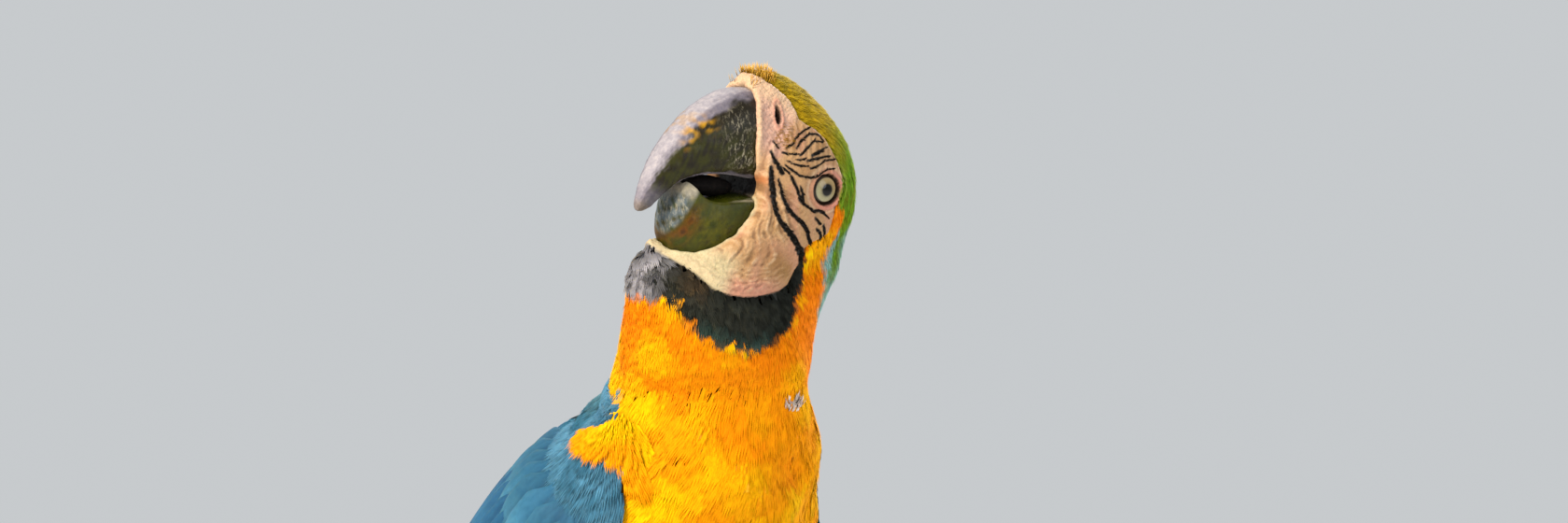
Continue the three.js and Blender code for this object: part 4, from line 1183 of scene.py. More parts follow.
def layBristles():  # stiff golden hairs over the bill's root, and hairs under the nostril
    roots, runs, lengths = [], [], []
    for k in range(300):  # across the forehead, leaning forward
        l = draw.uniform(-8, 8)
        roots.append((draw.uniform(33, 45), l, 40))
        runs.append((0.7 + draw.normal(0, 0.15), 0.04 * l + draw.normal(0, 0.15), 0.75))
        lengths.append(draw.uniform(3.0, 5.4))
    roots, runs = fromHead(np.array(roots)), np.array(runs) @ headAxes
    lengths = np.array(lengths)
    hits = [skinTree.ray_cast(Vector(p), Vector(-headAxes[2])) for p in roots]
    good = np.array([hit[0] is not None and hit[3] < 24 for hit in hits])
    at = np.array([tuple(hit[0]) if hit[0] is not None else (0, 0, 0) for hit in hits])
    sets = []
    groups = [(at[good], unit(runs)[good], lengths[good], 0.22)]
    hairs = []
    for side in (1, -1):
        for _ in range(170):
            f, u = draw.normal(24.5, 2.2), draw.normal(6.6, 2.6)
            hit = skinTree.ray_cast(Vector(fromHead((f, side * 40, u))), Vector(-side * headAxes[1]))
            if hit[0] is not None and f < 29:
                run = np.array([-0.9, side * 0.2, 0.42 + draw.normal(0, 0.2)]) @ headAxes
                n = np.array(hit[1])
                hairs.append((tuple(hit[0]), tuple(unit(run - run @ n * n * 0.8)), draw.uniform(1.8, 3.6)))
    groups.append((np.array([h[0] for h in hairs]), np.array([h[1] for h in hairs]),
                   np.array([h[2] for h in hairs]), 0.12))
    for at, run, length, half in groups:
        steps = np.array([0, 0.5, 1.0])
        lines = at[:, None] + run[:, None] * (length[:, None] * steps)[..., None]
        lines[:, 2] -= headAxes[0] * 0.25
        outward = np.repeat(unit(np.cross(run, headAxes[1]))[:, None], 3, 1)
        base = np.repeat(hexColour(bristle["colour"])[None], len(at), 0)
        sets.append(sew(lines, outward, np.full(len(at), half), np.full(len(at), half),
                        [plume(1, k + 60, 0, 0.2, 1.2, 0) for k in range(2)], paintFrom(base, 0.6, 1.5, 0.2),
                        unwrapHead(at)))
    joinSets("forehead_bristles", sets, softFeather, softness=0.0)


layBristles()

# the folded wings: rows of firm feathers that overlap down the same rings as the CAD wings follow
wingRows = [  # centre x z, half-width, half-depth, angles of the lower and upper edges, flesh
    [95, 197, 44, 36, 88, 130, 2], [88, 186, 51, 39, 68, 150, 3.8], [76, 168, 60, 51, 53, 162, 5],
    [56, 144, 66, 60, 50, 168, 4.6], [24, 112, 62, 56, 60, 170, 3.4], [-14, 79, 51, 44, 72, 170, 1.6],
    [-45, 46, 39, 34, 86, 170, 1], [-78, -2, 29, 26, 94, 168, 1], [-107, -55, 26, 19, 98, 165, 1],
    [-135, -108, 22, 15, 98, 162, 1], [-161, -158, 18, 12, 98, 158, 1],
]
wingSetting = {
    "gap": 1.0,
    "sink": 5.5,
    "tuckLeft": 19,
    "tuckRight": 4,
    "fleshEnd": 0.43,
    # where the breast's yellow feathers end on the wing: place across it, and along it
    "shoulder": [(-0.3, 0.15), (-0.1, 0.14), (0.0, 0.11), (0.14, 0.116), (0.31, 0.143), (0.49, 0.155),
                 (0.56, 0.13),
                 (0.6, -0.02), (1.2, -0.04)],
    "mantle": [(-0.3, -0.2), (0.0, -0.06), (0.08, 0.0), (0.24, 0.05), (0.4, 0.085), (0.57, 0.12), (0.62, 0.2),
               (1.2, 0.2)],
}
wingRun = smoothRun(wingRows)


def onWing(u, v, side, lift):  # points of one wing in world millimetres
    x, z, wide, deep, low, high, _ = np.moveaxis(wingRun(u), -1, 0)
    before, after = wingRun(u - 0.004), wingRun(u + 0.004)
    run = after - before
    along = unit(np.stack([run[..., 0], 0 * run[..., 0], run[..., 1]], -1))
    left = np.array([0.0, 1.0, 0.0])
    front = unit(np.cross(left, along))
    tuck = wingSetting["tuckLeft" if side > 0 else "tuckRight"] * (1 - ease(u, 0.3, 0.55))
    angle = np.radians(mix(low + tuck, high, v))
    back, out = -np.cos(angle), side * np.sin(angle)
    outward = unit(front * (back / deep)[..., None] + left * (out / wide)[..., None])
    centre = np.stack([x, 0 * x, z], -1)
    p = centre + front * (deep * back)[..., None] + left * (wide * out)[..., None]
    # the upper edge of the shoulder lies flat against the back
    sunk = wingSetting["sink"] * ease(u, 0.0, 0.07) * ease(u, 0.42, 0.28) * ease(v, 0.2, 0.62)
    return fromBody(p + outward * (wingSetting["gap"] + lift - sunk)[..., None]), outward @ bodyAxes


# rows from the shoulder down: how many feathers, root and tip along the wing, lowest and highest place across
# it at root and tip, half-width, rise of the root, the middle and the tip
wingTiers = [
    {"count": 11, "from": (0.2, 0.2), "to": (0.33, 0.32), "low": (0.06, 0.94), "high": (0.06, 0.94),
     "half": 11, "lift": (1.6, 3.4, 4.4), "kind": "firm", "colour": "median", "stack": 0.1},
    {"count": 12, "from": (0.25, 0.25), "to": (0.43, 0.4), "low": (0.08, 0.92), "high": (0.08, 0.92),
     "half": 10.5, "lift": (1.6, 3.6, 4.8), "kind": "firm", "colour": "greater", "stack": 0.15},
    {"count": 11, "from": (0.3, 0.3), "to": (0.72, 0.55), "low": (0.3, 0.9), "high": (0.44, 0.86),
     "half": 10.5, "lift": (1.8, 4.2, 5.0), "kind": "flight", "colour": "flight", "stack": 0.3},
    {"count": 10, "from": (0.34, 0.34), "to": (0.99, 0.66), "low": (0.1, 0.56), "high": (0.4, 0.52),
     "half": 8.5, "lift": (0.8, 1.2, 1.6), "kind": "pointed", "colour": "flight", "stack": 0.35},
]
blues = {
    "lesser": ("#1d4f66", "#5587a0"),
    "median": ("#1a4a68", "#44788f"),
    "greater": ("#163f62", "#36708f"),
    "flight": ("#113252", "#2a6490"),
    "shaft": "#12212c",
    "worn": "#c7b3a8",
    "under": "#1c4a68",
}


# a long feather with a shaft, and barbs parted here and there
def flightVane(along, across, seed, pointed, splits):
    pick = np.random.default_rng(seed)
    bm = bmesh.new()
    tones = bm.verts.layers.float.new("tone")
    bmesh.ops.create_grid(bm, x_segments=along, y_segments=across, size=0.5)
    made = bmesh.ops.extrude_face_region(bm, geom=list(bm.faces))
    for item in made["geom"]:
        if isinstance(item, bmesh.types.BMVert):
            item.co.z = -1
    parts = pick.random(splits) * 0.6 + 0.3
    sides = pick.choice([-1, 1], splits)
    for v in bm.verts:
        s, w = v.co.x + 0.5, v.co.y * 2
        upper = v.co.z > -0.5
        power = 2.4 if pointed else 3.4
        tip = max(0.0, 1 - s**power) ** (0.75 if pointed else 0.55)
        width = (0.35 + 0.65 * float(ease(s, 0, 0.28))) * max(tip, 0.1)
        for at, where in zip(parts, sides):
            if w * where > 0.5:
                width *= 1 - 0.16 * math.exp(-(((s - at) / 0.035) ** 2))
        top = 1.0 - 0.7 * w * w if upper else -0.2
        shaft = 1.1 * math.exp(-((w / 0.1) ** 2)) * (1 - 0.7 * s) if upper else 0
        v[tones] = pick.normal(0, 0.03)
        v.co = (min(1, s * (1 - 0.02 * abs(w))), w * width, top + shaft)
    return templateOf(bm)


vaneKinds = {
    "soft": [vane(10, 12, 0.13, k) for k in range(4)],
    "firm": [vane(12, 12, 0.08, k + 9) for k in range(4)],
    "flight": [flightVane(18, 10, k, False, 2) for k in range(3)],
    "pointed": [flightVane(22, 10, k + 5, True, 2) for k in range(3)],
}


def paintVane(kind, count):
    dark, light = (hexColour(code) for code in blues[kind])
    varied = 1 + draw.normal(0, 0.07, (count, 1))
    pale = draw.random(count)

    def paint(part, s, shape, points):
        w = shape[:, 1] / max(1e-6, np.abs(shape[:, 1]).max())
        streak = 0.5 + 0.5 * np.sin(52 * s + 30 * np.abs(w))
        share = np.clip(ease(s, 0.3, 1.0) * 0.6 + 0.22 * np.abs(w) + 0.16 * streak, 0, 1)
        colour = mixColours(dark[None], light[None], share)
        shaft = np.exp(-((w / 0.07) ** 2)) * (0.75 if kind == "flight" else 0.3)
        colour = mixColours(colour, hexColour(blues["shaft"])[None], shaft * (shape[:, 2] > 0.5))
        colour = colour[None] * varied[part][:, None, :]
        worn = (pale[part] > 0.9)[:, None] * ease(s, 0.88, 1.0)[None, :] * 0.6
        return mixColours(colour, hexColour(blues["worn"])[None, None], worn)

    return paint



def layTier(tier, side):
    count = tier["count"]
    k = np.linspace(0, 1, count)
    jitter = draw.normal(0, 1, (count, 3))
    u0 = mix(tier["from"][0], tier["from"][1], k)
    u1 = mix(tier["to"][0], tier["to"][1], k) + jitter[:, 0] * 0.004
    v0 = mix(tier["low"][0], tier["low"][1], k)
    v1 = mix(tier["high"][0], tier["high"][1], k) + jitter[:, 1] * 0.008
    steps = np.linspace(0, 1, 12)
    u = u0[:, None] + (u1 - u0)[:, None] * steps
    v = v0[:, None] + (v1 - v0)[:, None] * steps
    rise = np.interp(steps, [0, 0.25, 1], tier["lift"])[None, :] + 0 * u
    rise = rise + tier.get("stack", 0.2) * np.arange(count)[:, None] * steps
    rise = rise + (jitter[:, 2] * 0.2)[:, None] * steps
    places, outward = onWing(u, v, side, rise)
    spots = np.stack([0.04 + 0.92 * u[:, 0], 0.04 + 0.92 * v[:, 0]], 1)
    half = tier["half"] * (1 + draw.normal(0, 0.05, count))
    return sew(places, outward, half, np.full(count, 0.35), vaneKinds[tier["kind"]],
               paintVane(tier["colour"], count), spots, 0.03)


wingTufts = {  # soft small feathers, as coats on the wing itself
    "lesser": {"spacing": 3.5, "length": 24, "half": 3.9, "lift": (0.8, 3.0), "end": 0.34, "thick": 0.2},
    "shoulder": {"spacing": 2.5, "length": 19, "half": 3.4, "lift": (2.4, 4.0), "thick": 0.14},
}


def layWingTufts(side, which):
    tuft = wingTufts[which]
    acrossMm, alongMm = 105, 440
    top = tuft.get("end", 0.15)
    count = int((top + 0.03) * alongMm * 1.3 * acrossMm / tuft["spacing"] ** 2)
    u, v = draw.uniform(-0.03, top, count), draw.uniform(-0.4, 1.12, count)
    table = np.array(wingSetting["shoulder"])
    edge = np.interp(v + 0.02 * np.sin(u * 160), table[:, 0], table[:, 1])
    if which == "shoulder":
        table = np.array(wingSetting["mantle"])
        keep = (u < edge - 0.035) & (u > np.interp(v, table[:, 0], table[:, 1]))
        keep &= v > (-0.4 if side < 0 else 0.1)
    else:
        keep = np.abs(v - 0.5) < 0.46 + u * 0.35
    u, v = u[keep], v[keep]
    count = len(u)
    length = tuft["length"] / alongMm * (1 + draw.normal(0, 0.14, count))
    steps = np.linspace(0, 1, 5)
    lean = draw.normal(0, 0.012, count) + (0.035 * (v - 0.2) if which == "shoulder" else 0)
    us = u[:, None] + length[:, None] * steps
    vs = v[:, None] + lean[:, None] * steps
    low, high = tuft["lift"]
    rise = low + (high - low) * steps[None] ** 0.8 * (1 + draw.normal(0, 0.12, (count, 1)))
    rise = rise * ease(us, -0.05, 0.03) * (0.35 + 0.65 * ease(vs, -0.35, -0.05))
    places, outward = onWing(us, vs, side, rise)
    if which == "shoulder":
        share = ease(ripple(places[:, 0], 30, 5), -0.3, 0.9)
        base = mixColours(plumage["yellow"], plumage["bright"], share)
        shades = (0.93, 1.04, 0.04)
    else:
        dark, light = (hexColour(code) for code in blues["lesser"])
        # random tone, and lighter towards the wing's upper part as a painted highlight where the light falls
        # on it
        base = mixColours(dark, light, 0.25 + 0.35 * draw.random(count) + 0.4 * ease(v, 0.25, 0.6))
        onLine = (np.abs(v - 0.23 - (u - 0.15) * 1.64) < 0.02) & (np.abs(u - 0.22) < 0.06)
        worn = (side < 0) & onLine & (draw.random(count) > 0.7)
        base[worn] = hexColour(blues["worn"])
        shades = (0.72, 1.15, 0.1)
    spots = np.stack([0.04 + 0.92 * np.clip(u, 0, 1), 0.04 + 0.92 * np.clip(v, 0, 1)], 1)
    half = tuft["half"] * (1 + draw.normal(0, 0.12, count))
    return sew(places, outward, half, np.full(count, tuft["thick"]), [plume(8, k + 20) for k in range(5)],
               paintFrom(base, *shades), spots)


def wingCore(side):  # the wing's flesh under its feathers
    bm = bmesh.new()
    bmesh.ops.create_grid(bm, x_segments=28, y_segments=20, size=0.5)
    made = bmesh.ops.extrude_face_region(bm, geom=list(bm.faces))
    for item in made["geom"]:
        if isinstance(item, bmesh.types.BMVert):
            item.co.z = -1
    flat, corners, _ = templateOf(bm)
    t, w = flat[:, 0] + 0.5, flat[:, 1] * 2
    u = 0.008 + (wingSetting["fleshEnd"] - 0.008) * t
    rounded = np.minimum(1, 0.6 + 2.5 * t) * np.minimum(1, 0.3 + 2.5 * (1 - t))
    v = 0.5 + 0.48 * w * rounded
    thick = 0.2 + 0 * u
    points, outward = onWing(u, v, side, np.where(flat[:, 2] > -0.5, thick, 0.0))
    spots = np.stack([0.1 + 0.8 * t, 0.5 + 0.4 * w], 1)
    table = np.array(wingSetting["shoulder"])
    yellow = ease(np.interp(v, table[:, 0], table[:, 1]) - u, -0.01, 0.01)
    colour = mixColours(hexColour(blues["under"])[None], plumage["yellow"][None], yellow)
    up = flat[:, 2] > -0.5
    corners = corners if side > 0 else corners[:, ::-1]
    return points, corners, colour, spots, np.where(up[:, None], outward, -outward)


for side, label in ((1, "left"), (-1, "right")):
    sets = [wingCore(side)] + [layTier(tier, side) for tier in wingTiers]
    joinSets(f"wing_feathers_{label}", sets, firmFeather, (f"wing_{label}",), 0.35)
    joinSets(f"wing_coverts_{label}", [layWingTufts(side, "lesser")], softFeather,
             softness=0.75)
    joinSets(f"shoulder_feathers_{label}", [layWingTufts(side, "shoulder")], softFeather,
             softness=0.93)

# the tail
tailSetting = {"root": (-52, 0, 40), "pitch": 61, "length": 470, "pairs": 6, "layer": 1.1}
tailPitch = math.radians(tailSetting["pitch"])
tailAlong = np.array([-math.cos(tailPitch), 0, -math.sin(tailPitch)])
tailBack = np.array([-math.sin(tailPitch), 0, math.cos(tailPitch)])


def onTail(along, across, up):
    p = np.array(tailSetting["root"], float) + along[..., None] * tailAlong
    p = p + across[..., None] * np.array([0.0, 1.0, 0.0]) + up[..., None] * tailBack
    return fromBody(p)


def tailFeathers():
    sets = []
    backWorld = tailBack @ bodyAxes
    for pair in range(tailSetting["pairs"]):
        for side in (1, -1):
            length = tailSetting["length"] * (1 - 0.135 * pair)
            steps = np.linspace(0, 1, 16)
            along = 8 + (length - 8) * steps
            layer = 5.5 - tailSetting["layer"] * (2 * pair + (0 if side > 0 else 1))
            across = side * (3.6 + 1.5 * pair + along * (0.004 + 0.006 * pair))
            places = onTail(along, across, layer + 0 * along)[None]
            outward = np.repeat(backWorld[None, None], 16, 1)
            spots = np.array([[0.1 + 0.07 * (2 * pair + (side > 0)), 0.3]])
            sets.append(sew(places, outward, np.full(1, 13.5 - 0.7 * pair), np.full(1, 0.5),
                            vaneKinds["pointed"],
                            paintVane("flight", 1), spots))
    for row in range(4):  # coverts over the root, and under it
        for top in (1, -1):
            count = 7 - row % 2
            k = np.linspace(-1, 1, count)
            steps = np.linspace(0, 1, 12)
            along = -16 + 22 * row + (52 + 4 * row) * steps[None] - 10 * np.abs(k)[:, None] * (1 if row
                                                                                               else 0.5)
            across = k[:, None] * (17 - 1.5 * row) * (1 - 0.2 * steps)
            up = np.interp(along, [-16, 40, 120], [15, 10.5, 7.2]) - 4.2 * np.abs(k)[:, None] ** 2
            up = top * up - (3.6 if top < 0 else 0) + top * 1.6 * steps
            places = onTail(along, across, up)
            outward = np.repeat(np.repeat((top * backWorld)[None, None], 12, 1), count, 0)
            spots = np.stack([0.2 + 0.1 * k, 0.6 + 0.08 * row + 0 * k], 1)
            sets.append(sew(places, outward, np.full(count, 9.0), np.full(count, 0.45), vaneKinds["soft"],
                            paintVane("greater", count), spots))
    return sets


def tailCore():
    bm = bmesh.new()
    bmesh.ops.create_uvsphere(bm, u_segments=20, v_segments=12, radius=1)
    flat, corners, _ = templateOf(bm)
    points = onTail(24 + 44 * flat[:, 2], 17 * flat[:, 0], 10.5 * flat[:, 1] - 1)
    outward = unit(points - points.mean(0))
    a, b, c = (points[corners[:, k]] for k in range(3))
    if (np.cross(b - a, c - a) * outward[corners[:, 0]]).sum() < 0:
        corners = corners[:, ::-1]
    colour = np.repeat(hexColour(blues["under"])[None], len(points), 0)
    return points, corners, colour, flat[:, :2] * 0.05 + 0.9, outward


joinSets("tail_feathers", tailFeathers() + [tailCore()], firmFeather, ("tail",), 0.2)

# the bill
upperRows = [
    [40.3, 18.6, 22.6, -12.2, 14.4], [48.6, 12.6, 32.5, -16, 14.2], [56, 1.5, 41, -20.5, 12.8],
    [60.8, -12.5, 47.6, -25.4, 10.5], [62.8, -26, 51.6, -31, 8], [62.2, -38, 53.8, -38.2, 5.2],
    [59.6, -48.8, 55.6, -46.6, 2.4],
]
lowerRows = [
    [10, -18.5, -44, 12.5], [19, -18, -51, 14.8], [27, -22.5, -54, 15], [34, -27, -54.4, 13.9],
    [40, -28.4, -51.4, 12], [44, -27, -46.5, 10], [46.6, -26.4, -41, 8.2], [48.2, -26.4, -36.4, 6.8],
]
tongue = {"forward": 34.6, "up": -23, "length": 12.5, "half": 6.5, "height": 4.4, "slope": 26}
upperRun, lowerRun = smoothRun(upperRows), smoothRun(lowerRows)
hornColours = {
    "base": "#221d10",
    "olive": "#363706",
    "green": "#363c08",
    "moss": "#605c00",
    "rust": "#6a3c0c",
    "plum": "#4c3c44",
    # ridge and light are the painted sheen on the upper bill's top
    "ridge": "#7f7987",
    "light": "#b9b3bb",
    "tip": "#7a6a54",
    "stain": "#c99410",
    "scuff": "#b5ab90",
    "front": "#626e74",
    "rim": "#b4aa94",
}


def bulge(q, power):
    return np.maximum(0, 1 - np.abs(q) ** power) ** (1 / power)


def upperBill(t, angle):
    rx, rz, ex, ez, wide = upperRun(np.maximum(t, 0)).T
    q = np.cos(angle)
    side = np.sign(np.sin(angle)) * wide * np.where(q > 0, bulge(q, 2.2), bulge(q, 5))
    p = np.stack([(rx + ex) / 2 + (rx - ex) / 2 * q, side, (rz + ez) / 2 + (rz - ez) / 2 * q], -1)
    middle = np.stack([(rx + ex) / 2, 0 * rx, (rz + ez) / 2], -1)
    sunk = middle + (p - middle) * 0.93 + np.array([-3.0, 0, -1.2])
    # the tip closes in a rounded point
    close = np.sqrt(np.maximum(0.0, 1 - np.clip((t - 0.93) / 0.07, 0, 1) ** 2))
    p = middle + (p - middle) * np.maximum(close, 0.02)[:, None]
    return np.where(t[:, None] < 0, sunk, p)


def lowerBill(t, angle):
    x, top, under, wide = lowerRun(t).T
    up = np.cos(angle)
    level = top - 4
    height = np.where(up > 0, np.abs(up) ** 0.5 * 4, -np.abs(up) ** 0.85 * (level - under))
    side = np.sign(np.sin(angle)) * np.abs(np.sin(angle)) ** 0.75 * wide
    # the upper face is a hollow between two biting edges
    hollow = 2.2 * ease(up, 0.35, 0.9) * ease(t, 0.25, 0.5)
    return np.stack([x, side, level + height - hollow], -1)


def loft(name, rings, sides, shapeOf, start=0.0, end=1.0):
    bm = bmesh.new()
    bmesh.ops.create_grid(bm, x_segments=rings, y_segments=sides, size=0.5)
    flat = np.array([tuple(v.co) for v in bm.verts])
    points = shapeOf(start + (end - start) * (flat[:, 0] + 0.5), (flat[:, 1] + 0.5) * 2 * math.pi)
    for vert, p in zip(bm.verts, points):
        vert.co = p * mm
    bmesh.ops.remove_doubles(bm, verts=bm.verts, dist=1e-6)
    ends = [e for e in bm.edges if e.is_boundary]
    caps = bmesh.ops.holes_fill(bm, edges=ends, sides=0)["faces"]
    bmesh.ops.poke(bm, faces=caps)
    bmesh.ops.recalc_face_normals(bm, faces=bm.faces)
    mesh = bpy.data.meshes.new(name)
    bm.to_mesh(mesh)
    bm.free()
    mesh.shade_smooth()
    return bpy.data.objects.new(name, mesh)


def wear(obj, coarse, fine, seed):  # growth lines and dents
    points = pointsOf(obj.data)
    lift = coarse * ripple(points, 7, seed) + fine * ripple(points, 2.2, seed + 1)
    setPoints(obj.data, points + normalsOf(obj.data) * lift[:, None])
    return obj


def paintBill(obj, lower):
    p = pointsOf(obj.data)
    f, l, u = toHead(p).T
    n = normalsOf(obj.data)
    sideways = np.abs(n @ headAxes[1])
    colour = np.repeat(hexColour(hornColours["green" if lower else "base"])[None], len(p), 0)
    rocky = ripple(p, 9, 31) + 0.7 * ripple(p, 4, 32)
    if lower:
        moss = spot(f, u, 31, -39, 9, 9) * ease(rocky, -1.4, 0.8)
        colour = mixColours(colour, hexColour(hornColours["moss"]), moss)
        rust = spot(f, u, 40.5, -44, 3.2, 8) * ease(rocky, -1.6, 0.6)
        colour = mixColours(colour, hexColour(hornColours["rust"]), rust)
        colour = mixColours(colour, hexColour(hornColours["base"]), 0.6 * ease(rocky, 0.2, 1.4))
        front = ease(f - 0.1 * np.abs(l), 41.5, 43.5)
        colour = mixColours(colour, hexColour(hornColours["front"]), front
                            * ease(ripple(p, 5, 36), -1.2, 0.6))
        colour = mixColours(colour, hexColour(hornColours["rim"]), 0.8 * ease(u, -35, -31) * front)
        rim = ease(lowerEdge(f) - u, 2.0, 0.8) * ease(f, 41, 36)
        colour = mixColours(colour, hexColour(hornColours["rim"]), rim * 0.75 * ease(sideways, 0.15, 0.5))
        scuff = front * 0.35
    else:
        colour = mixColours(colour, hexColour(hornColours["olive"]),
                            0.85 * ease(u + 0.55 * (f - 30), 14, -2) * ease(rocky, -1.1, 0.9))
        colour = mixColours(colour, hexColour(hornColours["plum"]), 0.5 * ease(u, 8, 15) * ease(f, 46, 34))
        # painted sheen: lavender-grey where the surface faces less sideways, paler still where it faces least
        # sideways, and lavender-grey again towards the tip
        ridge = ease(sideways + 0.08 * ripple(p, 12, 37), 0.74, 0.5)
        colour = mixColours(colour, hexColour(hornColours["ridge"]), ridge * 0.9)
        colour = mixColours(colour, hexColour(hornColours["light"]), ease(sideways, 0.5, 0.2) * 0.8)
        colour = mixColours(colour, hexColour(hornColours["ridge"]), ease(u, -33, -42) * 0.6)
        colour = mixColours(colour, hexColour(hornColours["tip"]), ease(u, -42, -47) * 0.6)
        stain = (spot(f, u, 58.3, -12, 1.8, 5) + spot(f, u, 55, -5, 3, 2.5)) * ease(ripple(p, 4.5, 34),
                                                                                    -0.3, 0.5)
        colour = mixColours(colour, hexColour(hornColours["stain"]), np.clip(stain, 0, 1) * 0.9)
        scuff = np.clip(spot(f, u, 28.5, 2, 4.5, 8) + 0.6 * spot(f, u, 36, -8, 8, 5) + 0.5
                        * spot(f, u, 44, 2, 6, 6), 0, 1)
    setColours(obj.data, "marking", colour)
    setValues(obj.data, "scuff", scuff)


def lowerEdge(f):
    rows = np.array(lowerRows)
    return np.interp(f, rows[:, 0], rows[:, 1])


def billHorn():
    # dark with a greasy sheen, flaked and scratched pale
    made, tree, out = material("bill horn, worn keratin")
    coords = node(tree, "TexCoord").outputs["Object"]
    base = node(tree, "Attribute", attribute_name="marking").outputs["Color"]
    share = node(tree, "Attribute", attribute_name="scuff").outputs["Fac"]
    big = node(tree, "TexNoise", {"Vector": coords, "Scale": perMetre(7), "Detail": 5.0, "Roughness": 0.62})
    fine = node(tree, "TexNoise", {"Vector": coords, "Scale": perMetre(2.2), "Detail": 5.0, "Roughness": 0.7})
    drawn = node(tree, "Mapping", {"Vector": coords, "Scale": (1.6, 1.6, 0.6)})
    flakes = node(tree, "TexNoise", {"Vector": drawn.outputs[0], "Scale": perMetre(1.8), "Detail": 6.0,
                                     "Roughness": 0.75, "Distortion": 0.6})
    tone = node(tree, "ValToRGB", {"Fac": fine.outputs["Fac"]},
                [(0.3, "#3c3c3c"), (0.5, "#808080"), (0.68, "#b8b4a4")])
    mottled = node(tree, "Mix", {0: 0.5, 6: base, 7: tone.outputs["Color"]}, data_type="RGBA",
                   blend_type="OVERLAY")
    chips = node(tree, "MapRange", {"Value": flakes.outputs["Fac"], "From Min": 0.52, "From Max": 0.6})
    worn = node(tree, "Math", {0: chips.outputs[0], 1: share}, operation="MULTIPLY")
    scuffed = node(tree, "Mix", {0: worn.outputs[0], 6: mottled.outputs[2], 7: rgba(hornColours["scuff"])},
                   data_type="RGBA")
    rough = node(tree, "MapRange", {"Value": big.outputs["Fac"], "From Min": 0.3, "From Max": 0.7,
                                    "To Min": 0.2, "To Max": 0.42})
    bump = node(tree, "Bump", {"Height": flakes.outputs["Fac"], "Strength": 0.5, "Distance": 0.0004})
    shader = node(tree, "BsdfPrincipled", {
        "Base Color": scuffed.outputs[2],
        "Roughness": rough.outputs[0],
        "Normal": bump.outputs[0],
        "Specular IOR Level": 0.18,
    })
    tree.links.new(shader.outputs[0], out.inputs["Surface"])
    return made


def makeTongue():  # thick, dark and blunt, grooved down its middle
    bm = bmesh.new()
    bmesh.ops.create_uvsphere(bm, u_segments=40, v_segments=24, radius=1)
    a = math.radians(tongue["slope"])
    for v in bm.verts:
        x, y, z = v.co
        z = z - 0.22 * math.exp(-((y / 0.2) ** 2)) * (z > 0)
        x, z = x * tongue["length"] * 0.98, z * tongue["height"] * 0.96
        y *= tongue["half"] * 0.96
        x, z = x * math.cos(a) + z * math.sin(a), -x * math.sin(a) + z * math.cos(a)
        v.co = Vector(fromHead((tongue["forward"] + x, y, tongue["up"] + z))) * mm
    bmesh.ops.recalc_face_normals(bm, faces=bm.faces)
    mesh = bpy.data.meshes.new("tongue")
    bm.to_mesh(mesh)
    bm.free()
    mesh.shade_smooth()
    return bpy.data.objects.new("tongue", mesh)


def tongueSkin():
    made, tree, out = material("tongue, dry and black")  # nearly lost in the dark of the open mouth
    coords = node(tree, "TexCoord").outputs["Object"]
    grain = node(tree, "TexNoise", {"Vector": coords, "Scale": perMetre(1.6), "Detail": 4.0})
    tone = node(tree, "ValToRGB", {"Fac": grain.outputs["Fac"]}, [(0.3, "#040303"), (0.75, "#17110e")])
    bump = node(tree, "Bump", {"Height": grain.outputs["Fac"], "Strength": 0.5, "Distance": 0.0004})
    shader = node(tree, "BsdfPrincipled", {"Base Color": tone.outputs["Color"], "Roughness": 0.8,
                                           "Specular IOR Level": 0.12, "Normal": bump.outputs[0]})
    tree.links.new(shader.outputs[0], out.inputs["Surface"])
    return made


horn = billHorn()
upperHorn = wear(loft("bill_upper_horn", 120, 104, lambda t, a: fromHead(upperBill(t, a)), -0.02, 1.0),
                 0.12, 0.06, 21)
lowerHorn = wear(loft("bill_lower_horn", 80, 88, lambda t, a: fromHead(lowerBill(t, a)), 0.02, 1.0), 0.1,
                 0.05, 25)
for obj, lower in ((upperHorn, False), (lowerHorn, True)):
    paintBill(obj, lower)
    obj.data.materials.append(horn)
    place(obj, instead=("bill_lower" if lower else "bill_upper",))
tonguePiece = makeTongue()
tonguePiece.data.materials.append(tongueSkin())
place(tonguePiece)
print("bill made")


# eyes
def makeEye(side):
    label = "left" if side > 0 else "right"
    bm = bmesh.new()
    bmesh.ops.create_uvsphere(bm, u_segments=64, v_segments=48, radius=eyePlace["radius"] * mm)
    spin = Vector(eyeAxes[side]).to_track_quat("Z", "Y").to_matrix().to_4x4()
    bmesh.ops.transform(bm, matrix=Matrix.Translation(Vector(eyeCentres[side]) * mm) @ spin, verts=bm.verts)
    mesh = bpy.data.meshes.new(f"eyeball_{label}")
    bm.to_mesh(mesh)
    bm.free()
    mesh.shade_smooth()
    p = pointsOf(mesh) - eyeCentres[side]
    height = p @ eyeAxes[side]
    out = np.linalg.norm(p - height[:, None] * eyeAxes[side], axis=1) + 30 * (height < 0)
    setValues(mesh, "fromPupil", out)
    setValues(mesh, "upward", ease(p @ headAxes[2], -3, 4))
    obj = bpy.data.objects.new(mesh.name, mesh)
    place(obj, instead=(f"eye_{label}",))
    return obj


